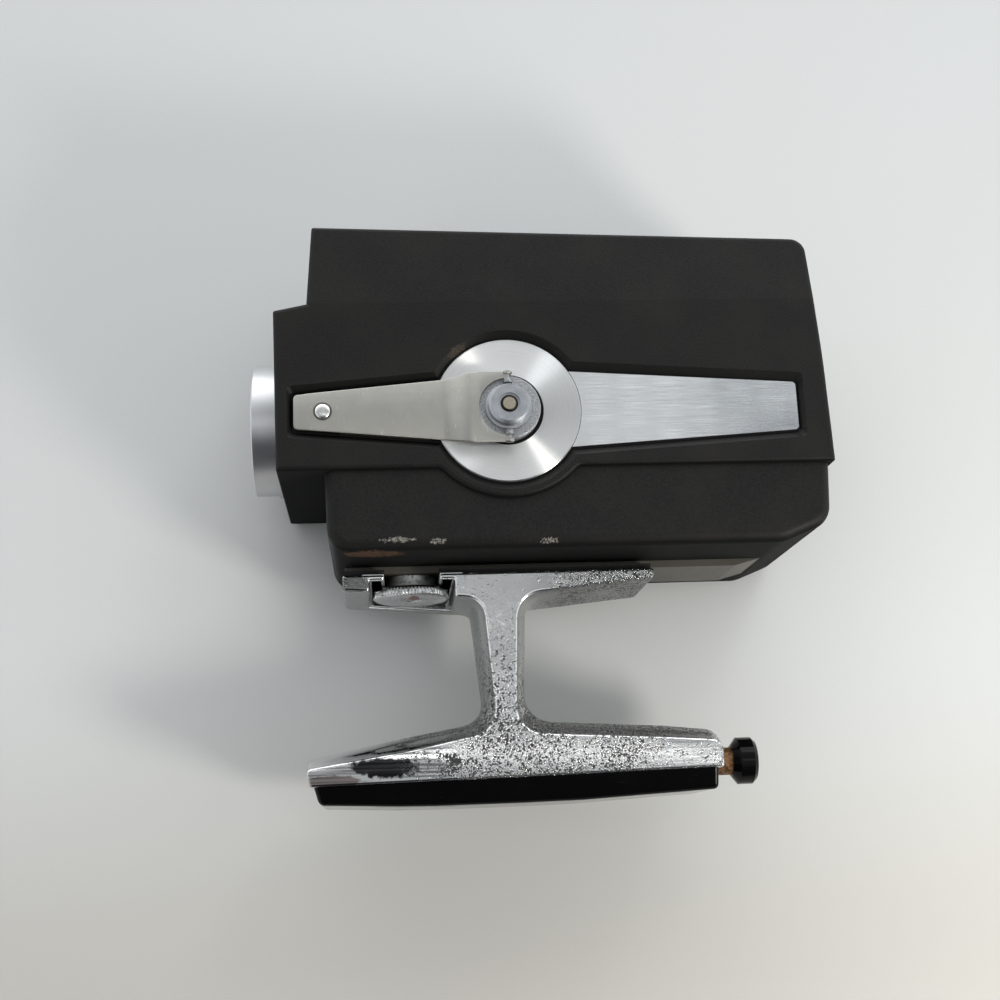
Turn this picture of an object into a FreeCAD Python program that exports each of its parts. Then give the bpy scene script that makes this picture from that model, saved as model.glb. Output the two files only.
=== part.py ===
import FreeCAD, Part
import math
import os

# A spring-wound 8 mm cartridge movie camera with a folding winding crank and a cast hand grip.
# Working frame: the winding axis is x = 0, y = 0, the lens looks towards -X, the top of the
# camera is +Y, and the operator's left side, with the crank, faces +Z. The camera lies on its
# right side, z = 0. At the end every piece is moved alike, to centre the whole on the origin.

# Driving dimensions of the body, in millimetres
BODY_THICK = 69.0          # right side to the raised belt of the left side
LOWER_SET_BACK = 1.5       # the lower housing stands this far under the belt
FRONT_X = -63.6            # front face of the lens block
FRONT_LEAN = 0.6           # the front wall leans forward by this much at its top
REAR_X = 91.0              # rear end of the belt
TOP_FRONT_Y = 54.8
TOP_REAR_Y = 50.2
UNDERSIDE_Y = -38.5
BELT_LIP_Y = -16.4         # lower lip of the belt
LIP_BULGE_R = 25.0         # the lip passes round the winding disc
LEFT_ROUND = 3.0           # rounded lower edges of the left and the right side
RIGHT_ROUND = 6.0
WALL = 2.2
LEFT_SPLIT_Z = 42.5        # seam of the left cover and the main casting
RIGHT_SPLIT_Z = 10.0       # seam of the main casting and the right cover

# Crank bed: two wings and a round middle, sunk into the belt with sloped walls
BED_DEPTH = 2.0
DISC_R = 20.4
BED_GAP = 0.45
PLATE_ROOT_HALF = 11.0
PLATE_TIP_HALF = 6.9
PLATE_TIP_X = 81.6
ARM_TIP_X = -58.7
ARM_TIP_HALF = 4.9
ARM_ROOT_HALF = 8.6
ARM_ROOT_X = -18.0

# Crank and winding axis
FLANGE_R = 9.0
FLANGE_TOP_Z = 70.4        # the stowed crank's fork lies on the hub flange
SHEET = 0.9                # thickness of the crank's sheet
EAR_HALF = 10.0            # half width over the ears of the crank
EAR_SHEET = 0.7
FORK_R = 8.1
KNOB_TOP_Z = 74.4
PEG_X = -50.8

# Lens and viewfinder
LENS_Y = 5.5
LENS_Z = 31.0
LENS_R = 19.3
LENS_FRONT_X = -72.0
FINDER_Y = 41.0
FINDER_Z = 34.5
EYEPIECE_OUT = 1.6         # the eyepiece stands out of the rear wall
EYEPIECE_Y = FINDER_Y - 3.0

# Spring motor: gears of the train
BARREL_TEETH = 40
BARREL_MODULE = 1.2
PINION_TEETH = 8
SPUR_TEETH = 24
SPUR_MODULE = 0.8
GOVERNOR_TEETH = 8
TAKEUP_TEETH = 20
FACE_TEETH = 24
FACE_MODULE = 0.75
SHUTTER_TEETH = 8
SHAFT_Y = 0.5              # height of the shutter shaft above the winding axis
RUNNING = 0.08             # radial clearance of a shaft in its bearing

# Hand grip
GRIP_Z = 34.5
GRIP_HALF = 16.5
GRIP_TOP_Y = -42.1
GRIP_BOTTOM_Y = -106.0
GRIP_FRONT_X = -57.3
GRIP_REAR_X = 57.5
SEAM_FRONT_Y = -100.1      # seam of the casting and the palm pad, at its two ends
SEAM_REAR_Y = -98.3
SCREW_X = -27.2
WHEEL_R = 11.0
PLUNGER_Y = -95.9
PLUNGER_TRAVEL = 2.3

# Seams, openings and places derived from the dimensions above
BLOCK_TOP_Y = 31.4         # top of the lens block, and the crease of the upper side
STEP_X = -55.0             # front of the upper housing
FOOT_X = -50.8             # front of the lower housing
CHAMFER_X = 75.0
EYEPIECE_X = REAR_X + EYEPIECE_OUT
PANEL_THICK = 3.2
PANEL_LOW_Y = BELT_LIP_Y + WALL
PANEL_HIGH_Y = BLOCK_TOP_Y - 1.9 - WALL
METER_Z = 60.0
BUTTON_Y = -6.0
BUTTON_Z = 8.5
BARREL_TUBE_R = 11.5
WEB_Z = 38.0               # lower face of the web that carries the clockwork
WEB_THICK = 2.5
WEB_FRONT_X = -43.2        # the web ends behind the shutter disc
BRIDGE_Z = 60.6            # lower face of the bridge plate
BRIDGE_THICK = 1.4
FORK_LOW_Z = FLANGE_TOP_Z + 0.1
FOLD_Z = FORK_LOW_Z + SHEET / 2    # folding axis in the middle of the fork's sheet
PIN_R = 0.5
EAR_R = 1.3
RIVET_R = 1.2
PEG_LONG = 12.4
ARBOR_R = 4.0
CENTRE_R = 1.5
STAFF_R = 1.0
SPINDLE_R = 2.0
CLICK_X = 14.2
CLICK_Y = 7.0
BARREL_R = 22.0
DRUM_SIDES = 32            # closed drums and cups inside have this many flats
FACE_R = 9.0
CENTRE_X = -math.sqrt((BARREL_MODULE * (BARREL_TEETH + PINION_TEETH) / 2) ** 2 - SHAFT_Y ** 2)
GOVERNOR_Y = SHAFT_Y - SPUR_MODULE * (SPUR_TEETH + GOVERNOR_TEETH) / 2
TAKEUP_Y = -10.0
TAKEUP_X = math.sqrt((BARREL_MODULE * (BARREL_TEETH + TAKEUP_TEETH) / 2) ** 2 - TAKEUP_Y ** 2)
SPUR_TOP_Z = WEB_Z + WEB_THICK + 1.3
SHUTTER_Z = SPUR_TOP_Z + 0.8 + FACE_MODULE * SHUTTER_TEETH / 2
SHUTTER_R = 18.5
POST_R = 3.2               # posts for the screws of the right cover
POSTS = [(-45.0, 29.0), (80.0, 20.0), (80.0, -12.0), (-44.0, -28.0)]
PILLARS = [(21.0, 21.0), (-21.0, 21.0), (27.0, -25.0), (-11.0, -28.0)]
DOOR_X = (-28.0, 62.0)
DOOR_Y = (-31.0, 32.0)
DOOR_Z = (0.35, 2.15)
DOOR_HINGE_Y = DOOR_Y[0] + 1.9
DOOR_HINGE_Z = (DOOR_Z[0] + DOOR_Z[1]) / 2
BASE_THICK = 2.0
BASE_Z = (18.5, LEFT_SPLIT_Z)
SCREW_R = 3.1
WHEEL_TOP_Y = -44.2
WHEEL_THICK = 3.0
NOTCH_R = 7.7              # the grip is open to the left round the hub of the wheel
PAD_TOP_Y = UNDERSIDE_Y - BASE_THICK
PLUNGER_R = 3.9

X_AXIS = FreeCAD.Vector(1, 0, 0)
Y_AXIS = FreeCAD.Vector(0, 1, 0)
Z_AXIS = FreeCAD.Vector(0, 0, 1)

PIECES = {}


def vec(x, y, z=0.0):
    return FreeCAD.Vector(x, y, z)


def wire_of(corners, z=0.0):
    """Closed outline at height z; each corner is (x, y) or (x, y, radius of its rounding)."""
    count = len(corners)
    edges = []
    joints = []
    for i, corner in enumerate(corners):
        point = vec(corner[0], corner[1], z)
        before = corners[i - 1]
        after = corners[(i + 1) % count]
        radius = corner[2] if len(corner) > 2 else 0.0
        if radius == 0.0:
            joints.append((point, point, None))
            continue
        to_before = (vec(before[0], before[1], z) - point).normalize()
        to_after = (vec(after[0], after[1], z) - point).normalize()
        half = to_before.getAngle(to_after) / 2
        reach = radius / math.tan(half)
        middle = (to_before + to_after).normalize()
        apex = point + middle * (radius / math.sin(half) - radius)
        joints.append((point + to_before * reach, point + to_after * reach, apex))
    for i, (start, end, apex) in enumerate(joints):
        if apex is not None:
            edges.append(Part.Arc(start, apex, end).toShape())
        following = joints[(i + 1) % count][0]
        if (following - end).Length > 1e-6:
            edges.append(Part.LineSegment(end, following).toShape())
    return Part.Wire(edges)


def slab(corners, z_low, z_high):
    """Plate of the given outline between two heights."""
    return Part.Face(wire_of(corners, z_low)).extrude(vec(0, 0, z_high - z_low))


def tapered(low_corners, z_low, high_corners, z_high):
    """Solid that runs from one outline to another with the same number of corners."""
    return Part.makeLoft([wire_of(low_corners, z_low), wire_of(high_corners, z_high)], True, True)


def block(x_low, x_high, y_low, y_high, z_low, z_high):
    return Part.makeBox(x_high - x_low, y_high - y_low, z_high - z_low, vec(x_low, y_low, z_low))


def rod(radius, start, end):
    """Round bar between two points."""
    return Part.makeCylinder(radius, (end - start).Length, start, end - start)


def bar(radius, sides, start, end):
    """Straight bar between two points with that many flats, its corners at the radius."""
    turns = [2 * math.pi * n / sides for n in range(sides)]
    form = slab([(radius * math.cos(a), radius * math.sin(a)) for a in turns], 0, (end - start).Length)
    form.Placement = FreeCAD.Placement(start, FreeCAD.Rotation(Z_AXIS, end - start))
    return form


def turned(profile, base, direction):
    """Turned piece: profile of (radius, height) points, revolved about an axis from base."""
    points = [vec(r, 0, h) for r, h in profile]
    face = Part.Face(Part.makePolygon(points + points[:1]))
    solid = facing_out(face.revolve(vec(0, 0, 0), Z_AXIS, 360))
    solid.Placement = FreeCAD.Placement(base, FreeCAD.Rotation(Z_AXIS, direction))
    return solid


def facing_out(shape):
    """Solid with its faces turned outwards."""
    if shape.Volume < 0:
        shape.reverse()
    return shape


def at(shape, x, y, z=0.0):
    moved = shape.copy()
    moved.translate(vec(x, y, z))
    return moved


def joined(first, *others):
    result = first
    for other in others:
        result = result.fuse(other)
    return result.removeSplitter()


def less(shape, *tools):
    result = shape
    for tool in tools:
        result = result.cut(tool)
    return result


def rounded(shape, radius, wanted):
    """Shape with a fillet on every edge that the test picks."""
    return shape.makeFillet(radius, [edge for edge in shape.Edges if wanted(edge)])


def lies_between(edge, z_low, z_high):
    box = edge.BoundBox
    return box.ZMin > z_low - 0.01 and box.ZMax < z_high + 0.01


def is_upright(edge):
    box = edge.BoundBox
    return box.ZLength > 5 and box.XLength < 0.01 and box.YLength < 0.01


def keep(name, shape):
    """Store a piece under its node name, as one solid or a group of separate solids."""
    solids = shape.Solids
    PIECES[name] = solids[0] if len(solids) == 1 else Part.makeCompound(solids)


def gear(module, teeth, z_low, z_high, phase=0.0):
    """Spur gear about z: straight-flanked teeth, thinner than half the pitch for backlash."""
    pitch_r = module * teeth / 2
    step = 2 * math.pi / teeth
    foot = (pitch_r - 1.15 * module, 0.27)
    tip = (pitch_r + 0.85 * module, 0.105)
    corners = []
    for tooth in range(teeth):
        middle = tooth * step + phase
        for (radius, half), side in ((foot, -1), (tip, -1), (tip, 1), (foot, 1)):
            angle = middle + side * half * step
            corners.append((radius * math.cos(angle), radius * math.sin(angle)))
    return slab(corners, z_low, z_high)


# Outlines of the body
def belt_corners(i=0.0):
    """Raised upper side, set in by i: lens block in front, sloping roof, curved rear end."""
    small = 0.6 if i == 0 else 0.0
    return [(FRONT_X + i, BELT_LIP_Y + i, small), (FRONT_X - FRONT_LEAN + i, BLOCK_TOP_Y - 1.9 - i, small),
            (STEP_X + i, BLOCK_TOP_Y - i), (STEP_X + 1.6 + i, TOP_FRONT_Y - i, small),
            (REAR_X - 3.2 - i, TOP_REAR_Y - i, 4.5), (REAR_X - 0.9 - i, 14.0, 300.0),
            (REAR_X - i, BELT_LIP_Y + i, small)]


def lower_corners(i=0.0):
    """Lower housing, set in by i: round foot in front, flat underside, shallow rear chamfer."""
    return [(FOOT_X + i, BELT_LIP_Y + 8), (FOOT_X + 0.8 + i, UNDERSIDE_Y + i, 6.5 - i / 2),
            (CHAMFER_X, UNDERSIDE_Y + i, 8.0), (REAR_X - 2.2 - i, UNDERSIDE_Y + 5.4 + i, 7.0 - i / 2),
            (REAR_X - 0.8 - i, BELT_LIP_Y + 8)]


def wing_corners(tip_x, tip_half, root_x, root_half, grow, grow_tip):
    """Tapered wing of the crank bed, from a tip to beside the winding axis."""
    side = -1 if tip_x < 0 else 1
    tip = tip_x + side * grow_tip
    return [(tip, -tip_half - grow, 1.2), (root_x, -root_half - grow),
            (root_x, root_half + grow), (tip, tip_half + grow, 1.2)]


def crank_bed():
    """Space sunk into the belt for the crank, the disc and the plate, with sloped walls."""
    floor_z = BODY_THICK - BED_DEPTH
    top_z = BODY_THICK + 0.4
    spread = BED_DEPTH + 0.4
    left = (ARM_TIP_X - BED_GAP, ARM_TIP_HALF + BED_GAP, -6.0, ARM_ROOT_HALF + 1.6)
    right = (PLATE_TIP_X + BED_GAP, PLATE_TIP_HALF + BED_GAP, 6.0, PLATE_ROOT_HALF + 1.2)
    left_wing = tapered(wing_corners(*left, 0.0, 0.0), floor_z, wing_corners(*left, spread, 1.7), top_z)
    right_wing = tapered(wing_corners(*right, 0.0, 0.0), floor_z, wing_corners(*right, spread, 1.7), top_z)
    middle_r = DISC_R + BED_GAP
    middle = Part.makeCone(middle_r, middle_r + spread, spread, vec(0, 0, floor_z))
    return joined(middle, left_wing, right_wing)


def peg_well(z_low, z_high):
    """Well for the peg in the bed's floor: longer than the peg, because the peg swings out on an arc."""
    x_low, x_high, half = PEG_X - 6.2, PEG_X + 3.4, 3.6
    corners = [(x_low, -half, half - 0.1), (x_high, -half, half - 0.1),
               (x_high, half, half - 0.1), (x_low, half, half - 0.1)]
    return slab(corners, z_low, z_high)


def upper_block():
    """Upper housing and lens block in one form, with the bulge of the lip round the disc."""
    form = slab(belt_corners(), 0, BODY_THICK)
    form = joined(form, Part.makeCylinder(LIP_BULGE_R, BODY_THICK))
    form = rounded(form, 3.5, lambda e: is_upright(e) and abs(e.CenterOfMass.y - BELT_LIP_Y) < 1.5
                   and 15 < abs(e.CenterOfMass.x) < 22)
    ends = []
    for x in (FRONT_X - 5, REAR_X + 5):
        points = [vec(x, BLOCK_TOP_Y, BODY_THICK), vec(x, TOP_FRONT_Y + 5, BODY_THICK),
                  vec(x, TOP_FRONT_Y + 5, BODY_THICK - 1.6)]
        ends.append(Part.makePolygon(points + points[:1]))
    form = form.cut(Part.makeLoft(ends, True, True))
    above_step = BLOCK_TOP_Y + 0.1
    form = rounded(form, 1.3, lambda e: lies_between(e, BODY_THICK - 1.6, BODY_THICK)
                   and e.CenterOfMass.x > STEP_X + 2 and e.Length > 1.5
                   and not (e.BoundBox.YLength < 0.01 and above_step - 1 < e.BoundBox.YMin < above_step))
    return rounded(form, 3.0, lambda e: lies_between(e, 0, 0.01) and e.CenterOfMass.x > STEP_X + 2
                   and e.CenterOfMass.y > BELT_LIP_Y + 1)


def lower_block():
    """Lower housing, with rounded edges on both sides."""
    side_z = BODY_THICK - LOWER_SET_BACK
    form = slab(lower_corners(), 0, side_z)
    below_lip = BELT_LIP_Y + 7
    form = rounded(form, LEFT_ROUND, lambda e: lies_between(e, side_z, side_z)
                   and e.CenterOfMass.y < below_lip)
    return rounded(form, RIGHT_ROUND, lambda e: lies_between(e, 0, 0) and e.CenterOfMass.y < below_lip)


def make_housing():
    """Left cover, main casting and right cover: one hollow form, split at two seams."""
    hollow_top = BODY_THICK - BED_DEPTH - 2.5
    hollow = joined(slab(belt_corners(WALL), WALL, hollow_top),
                    slab(lower_corners(WALL), RIGHT_ROUND, hollow_top),
                    slab(lower_corners(2 * WALL), WALL, RIGHT_ROUND))
    shell = joined(upper_block(), lower_block()).cut(hollow)
    well_floor = BODY_THICK - 15.3
    cup = block(PEG_X - 7.1, PEG_X + 4.3, -4.5, 4.5, well_floor - 0.9, BODY_THICK - BED_DEPTH - 1)
    posts = [bar(POST_R, 8, vec(x, y, WALL), vec(x, y, WEB_Z)) for x, y in POSTS]
    shell = joined(shell, cup, *posts)
    panel_hole = block(FRONT_X - 1, FRONT_X + PANEL_THICK, PANEL_LOW_Y, PANEL_HIGH_Y, WALL, BODY_THICK - WALL)
    eye_hole = rod(7.0, vec(REAR_X - 8, EYEPIECE_Y, FINDER_Z), vec(REAR_X + 2, EYEPIECE_Y, FINDER_Z))
    hub_hole = rod(5.6, vec(0, 0, hollow_top - 1), vec(0, 0, BODY_THICK))
    door_hole = block(*DOOR_X, *DOOR_Y, -1, WALL + 1)
    shell = less(shell, panel_hole, finder_pane(-3, 6), eye_hole, hub_hole, door_hole, crank_bed(),
                 peg_well(well_floor, BODY_THICK), *[cover_screw(x, y) for x, y in POSTS])
    web_top = WEB_Z + WEB_THICK
    web = joined(slab(belt_corners(0.5), WEB_Z, web_top), slab(lower_corners(0.5), WEB_Z, web_top))
    finder_light = block(STEP_X - 2, REAR_X + 2, FINDER_Y - 10.5, TOP_FRONT_Y - WALL - 1, 0, BODY_THICK)
    web = less(web, block(2 * FRONT_X, WEB_FRONT_X, -60, 60, 0, BODY_THICK), finder_light)
    bores = [rod(r + RUNNING, vec(x, y, WEB_Z - 1), vec(x, y, web_top + 1)) for x, y, r in shaft_places()]
    keep("left_cover", shell.common(layer(LEFT_SPLIT_Z, BODY_THICK + 1)))
    keep("main_casting", less(joined(shell.common(layer(RIGHT_SPLIT_Z, LEFT_SPLIT_Z)), web), *bores))
    keep("right_cover", shell.common(layer(-1, RIGHT_SPLIT_Z)))
    keep("cover_screws", Part.makeCompound([cover_screw(x, y) for x, y in POSTS]))


def layer(z_low, z_high):
    """Everything between two heights."""
    reach = 200.0
    return block(-reach, reach, -reach, reach, z_low, z_high)


def cover_screw(x, y):
    """Sunk screw that holds the right cover to a post of the main casting."""
    head = bar(2.6, 16, vec(x, y, 0.4), vec(x, y, 1.6))
    return joined(head, bar(1.3, 8, vec(x, y, 1.6), vec(x, y, 16.0)))


def finder_pane(front, back):
    """Upright pane in the sloping front wall of the upper housing, between two depths."""
    slope = 1.6 / (TOP_FRONT_Y - BLOCK_TOP_Y)
    low_y, high_y = FINDER_Y - 6, FINDER_Y + 6
    low_x = STEP_X + slope * (low_y - BLOCK_TOP_Y)
    high_x = STEP_X + slope * (high_y - BLOCK_TOP_Y)
    corners = [(low_x + front, low_y), (low_x + back, low_y), (high_x + back, high_y),
               (high_x + front, high_y)]
    return slab(corners, FINDER_Z - 20, FINDER_Z + 20)


def shaft_places():
    """Centre and radius of each upright shaft that runs in the web."""
    return [(0.0, 0.0, ARBOR_R), (CENTRE_X, SHAFT_Y, CENTRE_R), (CENTRE_X, GOVERNOR_Y, STAFF_R),
            (TAKEUP_X, TAKEUP_Y, SPINDLE_R)]


# Front panel, lens and viewfinder
def make_front_panel():
    """Front panel of the lens block, with the lens bore, meter window and start button hole."""
    x0, x1 = FRONT_X, FRONT_X + PANEL_THICK
    panel = block(x0, x1, PANEL_LOW_Y, PANEL_HIGH_Y, WALL, BODY_THICK - WALL)
    lens_bore = rod(BARREL_TUBE_R, vec(x0 - 1, LENS_Y, LENS_Z), vec(x1 + 1, LENS_Y, LENS_Z))
    window = block(x0 - 1, x1 + 1, -9, 23, METER_Z - 4, METER_Z + 4)
    rebate = block(x0 - 1, x0 + 1.2, -10, 24, METER_Z - 5, METER_Z + 5)
    button = rod(3.5 + RUNNING, vec(x0 - 1, BUTTON_Y, BUTTON_Z), vec(x1 + 1, BUTTON_Y, BUTTON_Z))
    keep("front_panel", less(panel, lens_bore, window, rebate, button))
    ribs = [block(x0 + 0.2, x0 + 1.2, -10, 24, z - 0.35, z + 0.35) for z in
            [METER_Z - 4 + 1.6 * n for n in range(6)]]
    keep("meter_window", joined(block(x0 + 0.6, x0 + 1.2, -10, 24, METER_Z - 5, METER_Z + 5), *ribs))
    keep("meter_cell", block(x0 + 1.2, x0 + 2.8, -9, 23, METER_Z - 4, METER_Z + 4))
    start = turned([(0, -3.0), (3.1, -3.0), (3.5, -2.6), (3.5, 5.4), (0, 5.4)],
                   vec(x0, BUTTON_Y, BUTTON_Z), X_AXIS)
    keep("start_button", start)


def make_lens():
    """Fixed barrel in the panel, front ring that turns for focus, and two glass elements."""
    axis = vec(0, LENS_Y, LENS_Z)
    front = LENS_FRONT_X
    x0 = FRONT_X
    barrel = turned([(10.0, front + 3.5), (BARREL_TUBE_R, front + 3.5), (BARREL_TUBE_R, x0 + 9.0),
                     (10.0, x0 + 9.0)], axis, X_AXIS)
    keep("lens_barrel", barrel)
    ring = turned([(BARREL_TUBE_R + RUNNING, x0 - 0.3), (LENS_R, x0 - 0.3), (LENS_R, front + 0.4),
                   (LENS_R - 0.4, front), (LENS_R - 2.0, front), (BARREL_TUBE_R + RUNNING, front + 2.9)],
                  axis, X_AXIS)
    keep("focus_ring", ring)
    front_glass = turned([(0, front + 4.1), (4.0, front + 4.1), (10.0, front + 5.6), (10.0, front + 7.0),
                          (0, front + 7.0)], axis, X_AXIS)
    keep("front_element", front_glass)
    rear_glass = turned([(0, x0 + 5.6), (10.0, x0 + 5.6), (10.0, x0 + 7.0), (4.0, x0 + 8.4), (0, x0 + 8.4)],
                        axis, X_AXIS)
    keep("rear_element", rear_glass)


def make_viewfinder():
    """Front window behind the upper face, and eyepiece with its lens in the rear wall."""
    keep("finder_window", finder_pane(0.8, 2.0))
    axis = vec(0, EYEPIECE_Y, FINDER_Z)
    rear = EYEPIECE_X
    cup = turned([(5.0, rear - 12), (7.0, rear - 12), (7.0, rear - 3.4), (9.0, rear - 3.4), (8.6, rear),
                  (6.6, rear), (5.0, rear - 2.0)], axis, X_AXIS)
    keep("eyepiece", cup)
    glass = turned([(0, rear - 6.0), (5.0, rear - 6.0), (5.0, rear - 4.6), (2.0, rear - 3.8),
                    (0, rear - 3.8)], axis, X_AXIS)
    keep("eyepiece_lens", glass)


# Crank side
def make_side_trim():
    """Bright disc and plate that lie on the floor of the crank bed."""
    floor_z = BODY_THICK - BED_DEPTH
    disc = turned([(10.05, 0), (DISC_R, 0), (DISC_R, 0.65), (DISC_R - 0.25, 0.9), (10.05, 0.9)],
                  vec(0, 0, floor_z), Z_AXIS)
    keep("trim_disc", disc)
    outline = wing_corners(PLATE_TIP_X, PLATE_TIP_HALF, 15.0, PLATE_ROOT_HALF, 0.0, 0.0)
    plate = slab(outline, floor_z, floor_z + 0.7)
    keep("side_plate", plate.cut(rod(DISC_R + 0.15, vec(0, 0, floor_z - 1), vec(0, 0, BODY_THICK))))


def make_winding():
    """Hub flange, and the arbor with its knob, centre pin and ratchet wheel that turn in it."""
    hub_low = BODY_THICK - BED_DEPTH - 2.5
    floor_z = BODY_THICK - BED_DEPTH
    hub = turned([(ARBOR_R + RUNNING, hub_low), (5.6, hub_low), (5.6, floor_z), (FLANGE_R, floor_z),
                  (FLANGE_R, FLANGE_TOP_Z - 0.4), (FLANGE_R - 0.4, FLANGE_TOP_Z),
                  (ARBOR_R + RUNNING, FLANGE_TOP_Z)], vec(0, 0, 0), Z_AXIS)
    lugs = []
    for low, high in ((-8.0, -6.8), (6.8, 8.0)):
        lugs.append(bar(1.3, 8, vec(0, low, FOLD_Z), vec(0, high, FOLD_Z)))
        lugs.append(block(-1.2, 1.2, low, high, FLANGE_TOP_Z, FOLD_Z))
    pins = [bar(PIN_R, 10, vec(0, side * 6.8, FOLD_Z), vec(0, side * EAR_HALF, FOLD_Z)) for side in (-1, 1)]
    keep("crank_hub", less(joined(hub, *lugs), *pins))
    keep("fold_pins", Part.makeCompound(pins))
    knob_low = FLANGE_TOP_Z + 0.1
    arbor = joined(rod(ARBOR_R, vec(0, 0, WEB_Z - 1.5), vec(0, 0, 72.4)),
                   bar(6.0, 16, vec(0, 0, 47.6), vec(0, 0, 58.2)))
    keep("winding_arbor", arbor)
    knob = turned([(ARBOR_R, knob_low), (6.4, knob_low), (6.4, knob_low + 0.7), (5.7, knob_low + 0.9),
                   (5.7, KNOB_TOP_Z - 0.7), (5.0, KNOB_TOP_Z), (3.0, KNOB_TOP_Z), (3.0, KNOB_TOP_Z - 0.6),
                   (2.1, KNOB_TOP_Z - 0.6), (2.1, 72.4), (ARBOR_R, 72.4)], vec(0, 0, 0), Z_AXIS)
    keep("winding_knob", knob)
    keep("knob_pin", turned([(0, 72.4), (2.1, 72.4), (2.1, KNOB_TOP_Z - 0.35), (1.8, KNOB_TOP_Z - 0.15),
                             (0, KNOB_TOP_Z - 0.15)], vec(0, 0, 0), Z_AXIS))
    teeth = 16
    saw = []
    for n in range(teeth):
        angle = 2 * math.pi * n / teeth
        late = angle + 2 * math.pi * 0.86 / teeth
        saw.append((7.8 * math.cos(angle), 7.8 * math.sin(angle)))
        saw.append((6.4 * math.cos(late), 6.4 * math.sin(late)))
    bridge_top = BRIDGE_Z + BRIDGE_THICK
    low, high = bridge_top + 0.4, bridge_top + 1.7
    wheel = slab(saw, low, high)
    keep("ratchet_wheel", wheel.cut(rod(ARBOR_R, vec(0, 0, 50), vec(0, 0, 80))))
    click = slab([(8.1, 0.2), (9.4, -1.0), (13.0, 4.4), (15.0, 4.9), (15.9, 5.8), (15.9, 7.8), (15.0, 8.7),
                  (13.2, 8.7), (12.2, 7.8)], low, high)
    keep("click", click.cut(rod(1.0 + RUNNING, vec(CLICK_X, CLICK_Y, 50), vec(CLICK_X, CLICK_Y, 80))))
    keep("click_pin", rod(1.0, vec(CLICK_X, CLICK_Y, bridge_top), vec(CLICK_X, CLICK_Y, high + 0.2)))
    keep("click_spring", slab([(16.6, -4.0), (17.1, -4.0), (17.1, 3.6), (18.6, 3.6), (18.6, 5.4),
                               (16.6, 5.4)], bridge_top, high))


def make_crank():
    """Folding crank of bent sheet: flat arm, ramp, fork round the knob and two ears."""
    top = BODY_THICK
    fork_top = FORK_LOW_Z + SHEET
    arm = slab(arm_corners(), top - SHEET, top)
    ramp_start, ramp_end = -17.6, -10.6
    bends = [(ramp_start - 0.8, top - SHEET), (ramp_start, top - SHEET), (ramp_end, FORK_LOW_Z),
             (0.0, FORK_LOW_Z), (0.0, fork_top), (ramp_end - 0.5, fork_top), (ramp_start - 0.6, top),
             (ramp_start - 0.8, top)]
    side = Part.makePolygon([vec(x, -EAR_HALF, z) for x, z in bends + bends[:1]])
    root = facing_out(Part.Face(side).extrude(vec(0, 2 * EAR_HALF, 0)))
    in_plan = [(ramp_start - 1, -ARM_ROOT_HALF), (-9.0, -EAR_HALF, 4.0), (0.0, -EAR_HALF), (0.0, EAR_HALF),
               (-9.0, EAR_HALF, 4.0), (ramp_start - 1, ARM_ROOT_HALF)]
    root = root.common(slab(in_plan, BODY_THICK - 9, BODY_THICK + 9))
    root = root.cut(rod(FORK_R, vec(0, 0, BODY_THICK - 9), vec(0, 0, BODY_THICK + 9)))
    ears = [bar(EAR_R, 12, vec(0, side * (EAR_HALF - EAR_SHEET), FOLD_Z), vec(0, side * EAR_HALF, FOLD_Z))
            for side in (-1, 1)]
    edges = [slab(arm_edge(sign), top - 1.7, top - SHEET) for sign in (-1, 1)]
    crank = joined(arm, root, *ears, *edges)
    pin_bore = rod(PIN_R + RUNNING, vec(0, -2 * EAR_HALF, FOLD_Z), vec(0, 2 * EAR_HALF, FOLD_Z))
    rivet_bore = rod(RIVET_R, vec(PEG_X, 0, 60), vec(PEG_X, 0, 80))
    keep("crank_arm", less(crank, pin_bore, rivet_bore))
    peg_top = top - SHEET - 0.1
    peg_low = peg_top - PEG_LONG
    rivet = [(0, top + 0.7), (1.1, top + 0.7), (2.1, top), (RIVET_R, top), (RIVET_R, peg_low - 0.1),
             (2.0, peg_low - 0.1), (2.0, peg_low - 0.8), (0, peg_low - 0.8)]
    keep("crank_rivet", turned(rivet, vec(PEG_X, 0), Z_AXIS))
    bore = RIVET_R + RUNNING
    peg = [(bore, peg_top), (2.6, peg_top), (3.0, peg_top - 1.0), (3.0, peg_low), (bore, peg_low)]
    keep("crank_peg", turned(peg, vec(PEG_X, 0), Z_AXIS))


def arm_corners():
    return [(ARM_TIP_X, -ARM_TIP_HALF, 1.0), (ARM_ROOT_X, -ARM_ROOT_HALF), (ARM_ROOT_X, ARM_ROOT_HALF),
            (ARM_TIP_X, ARM_TIP_HALF, 1.0)]


def arm_edge(sign):
    """Turned-down edge along one side of the arm, short of the disc."""
    slope = (ARM_ROOT_HALF - ARM_TIP_HALF) / (ARM_ROOT_X - ARM_TIP_X)
    start, end = -46.0, -21.5
    at_start = sign * (ARM_TIP_HALF + slope * (start - ARM_TIP_X))
    at_end = sign * (ARM_TIP_HALF + slope * (end - ARM_TIP_X))
    inward = -sign * SHEET
    return [(start, at_start + inward), (end, at_end + inward), (end, at_end), (start, at_start)]


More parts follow.
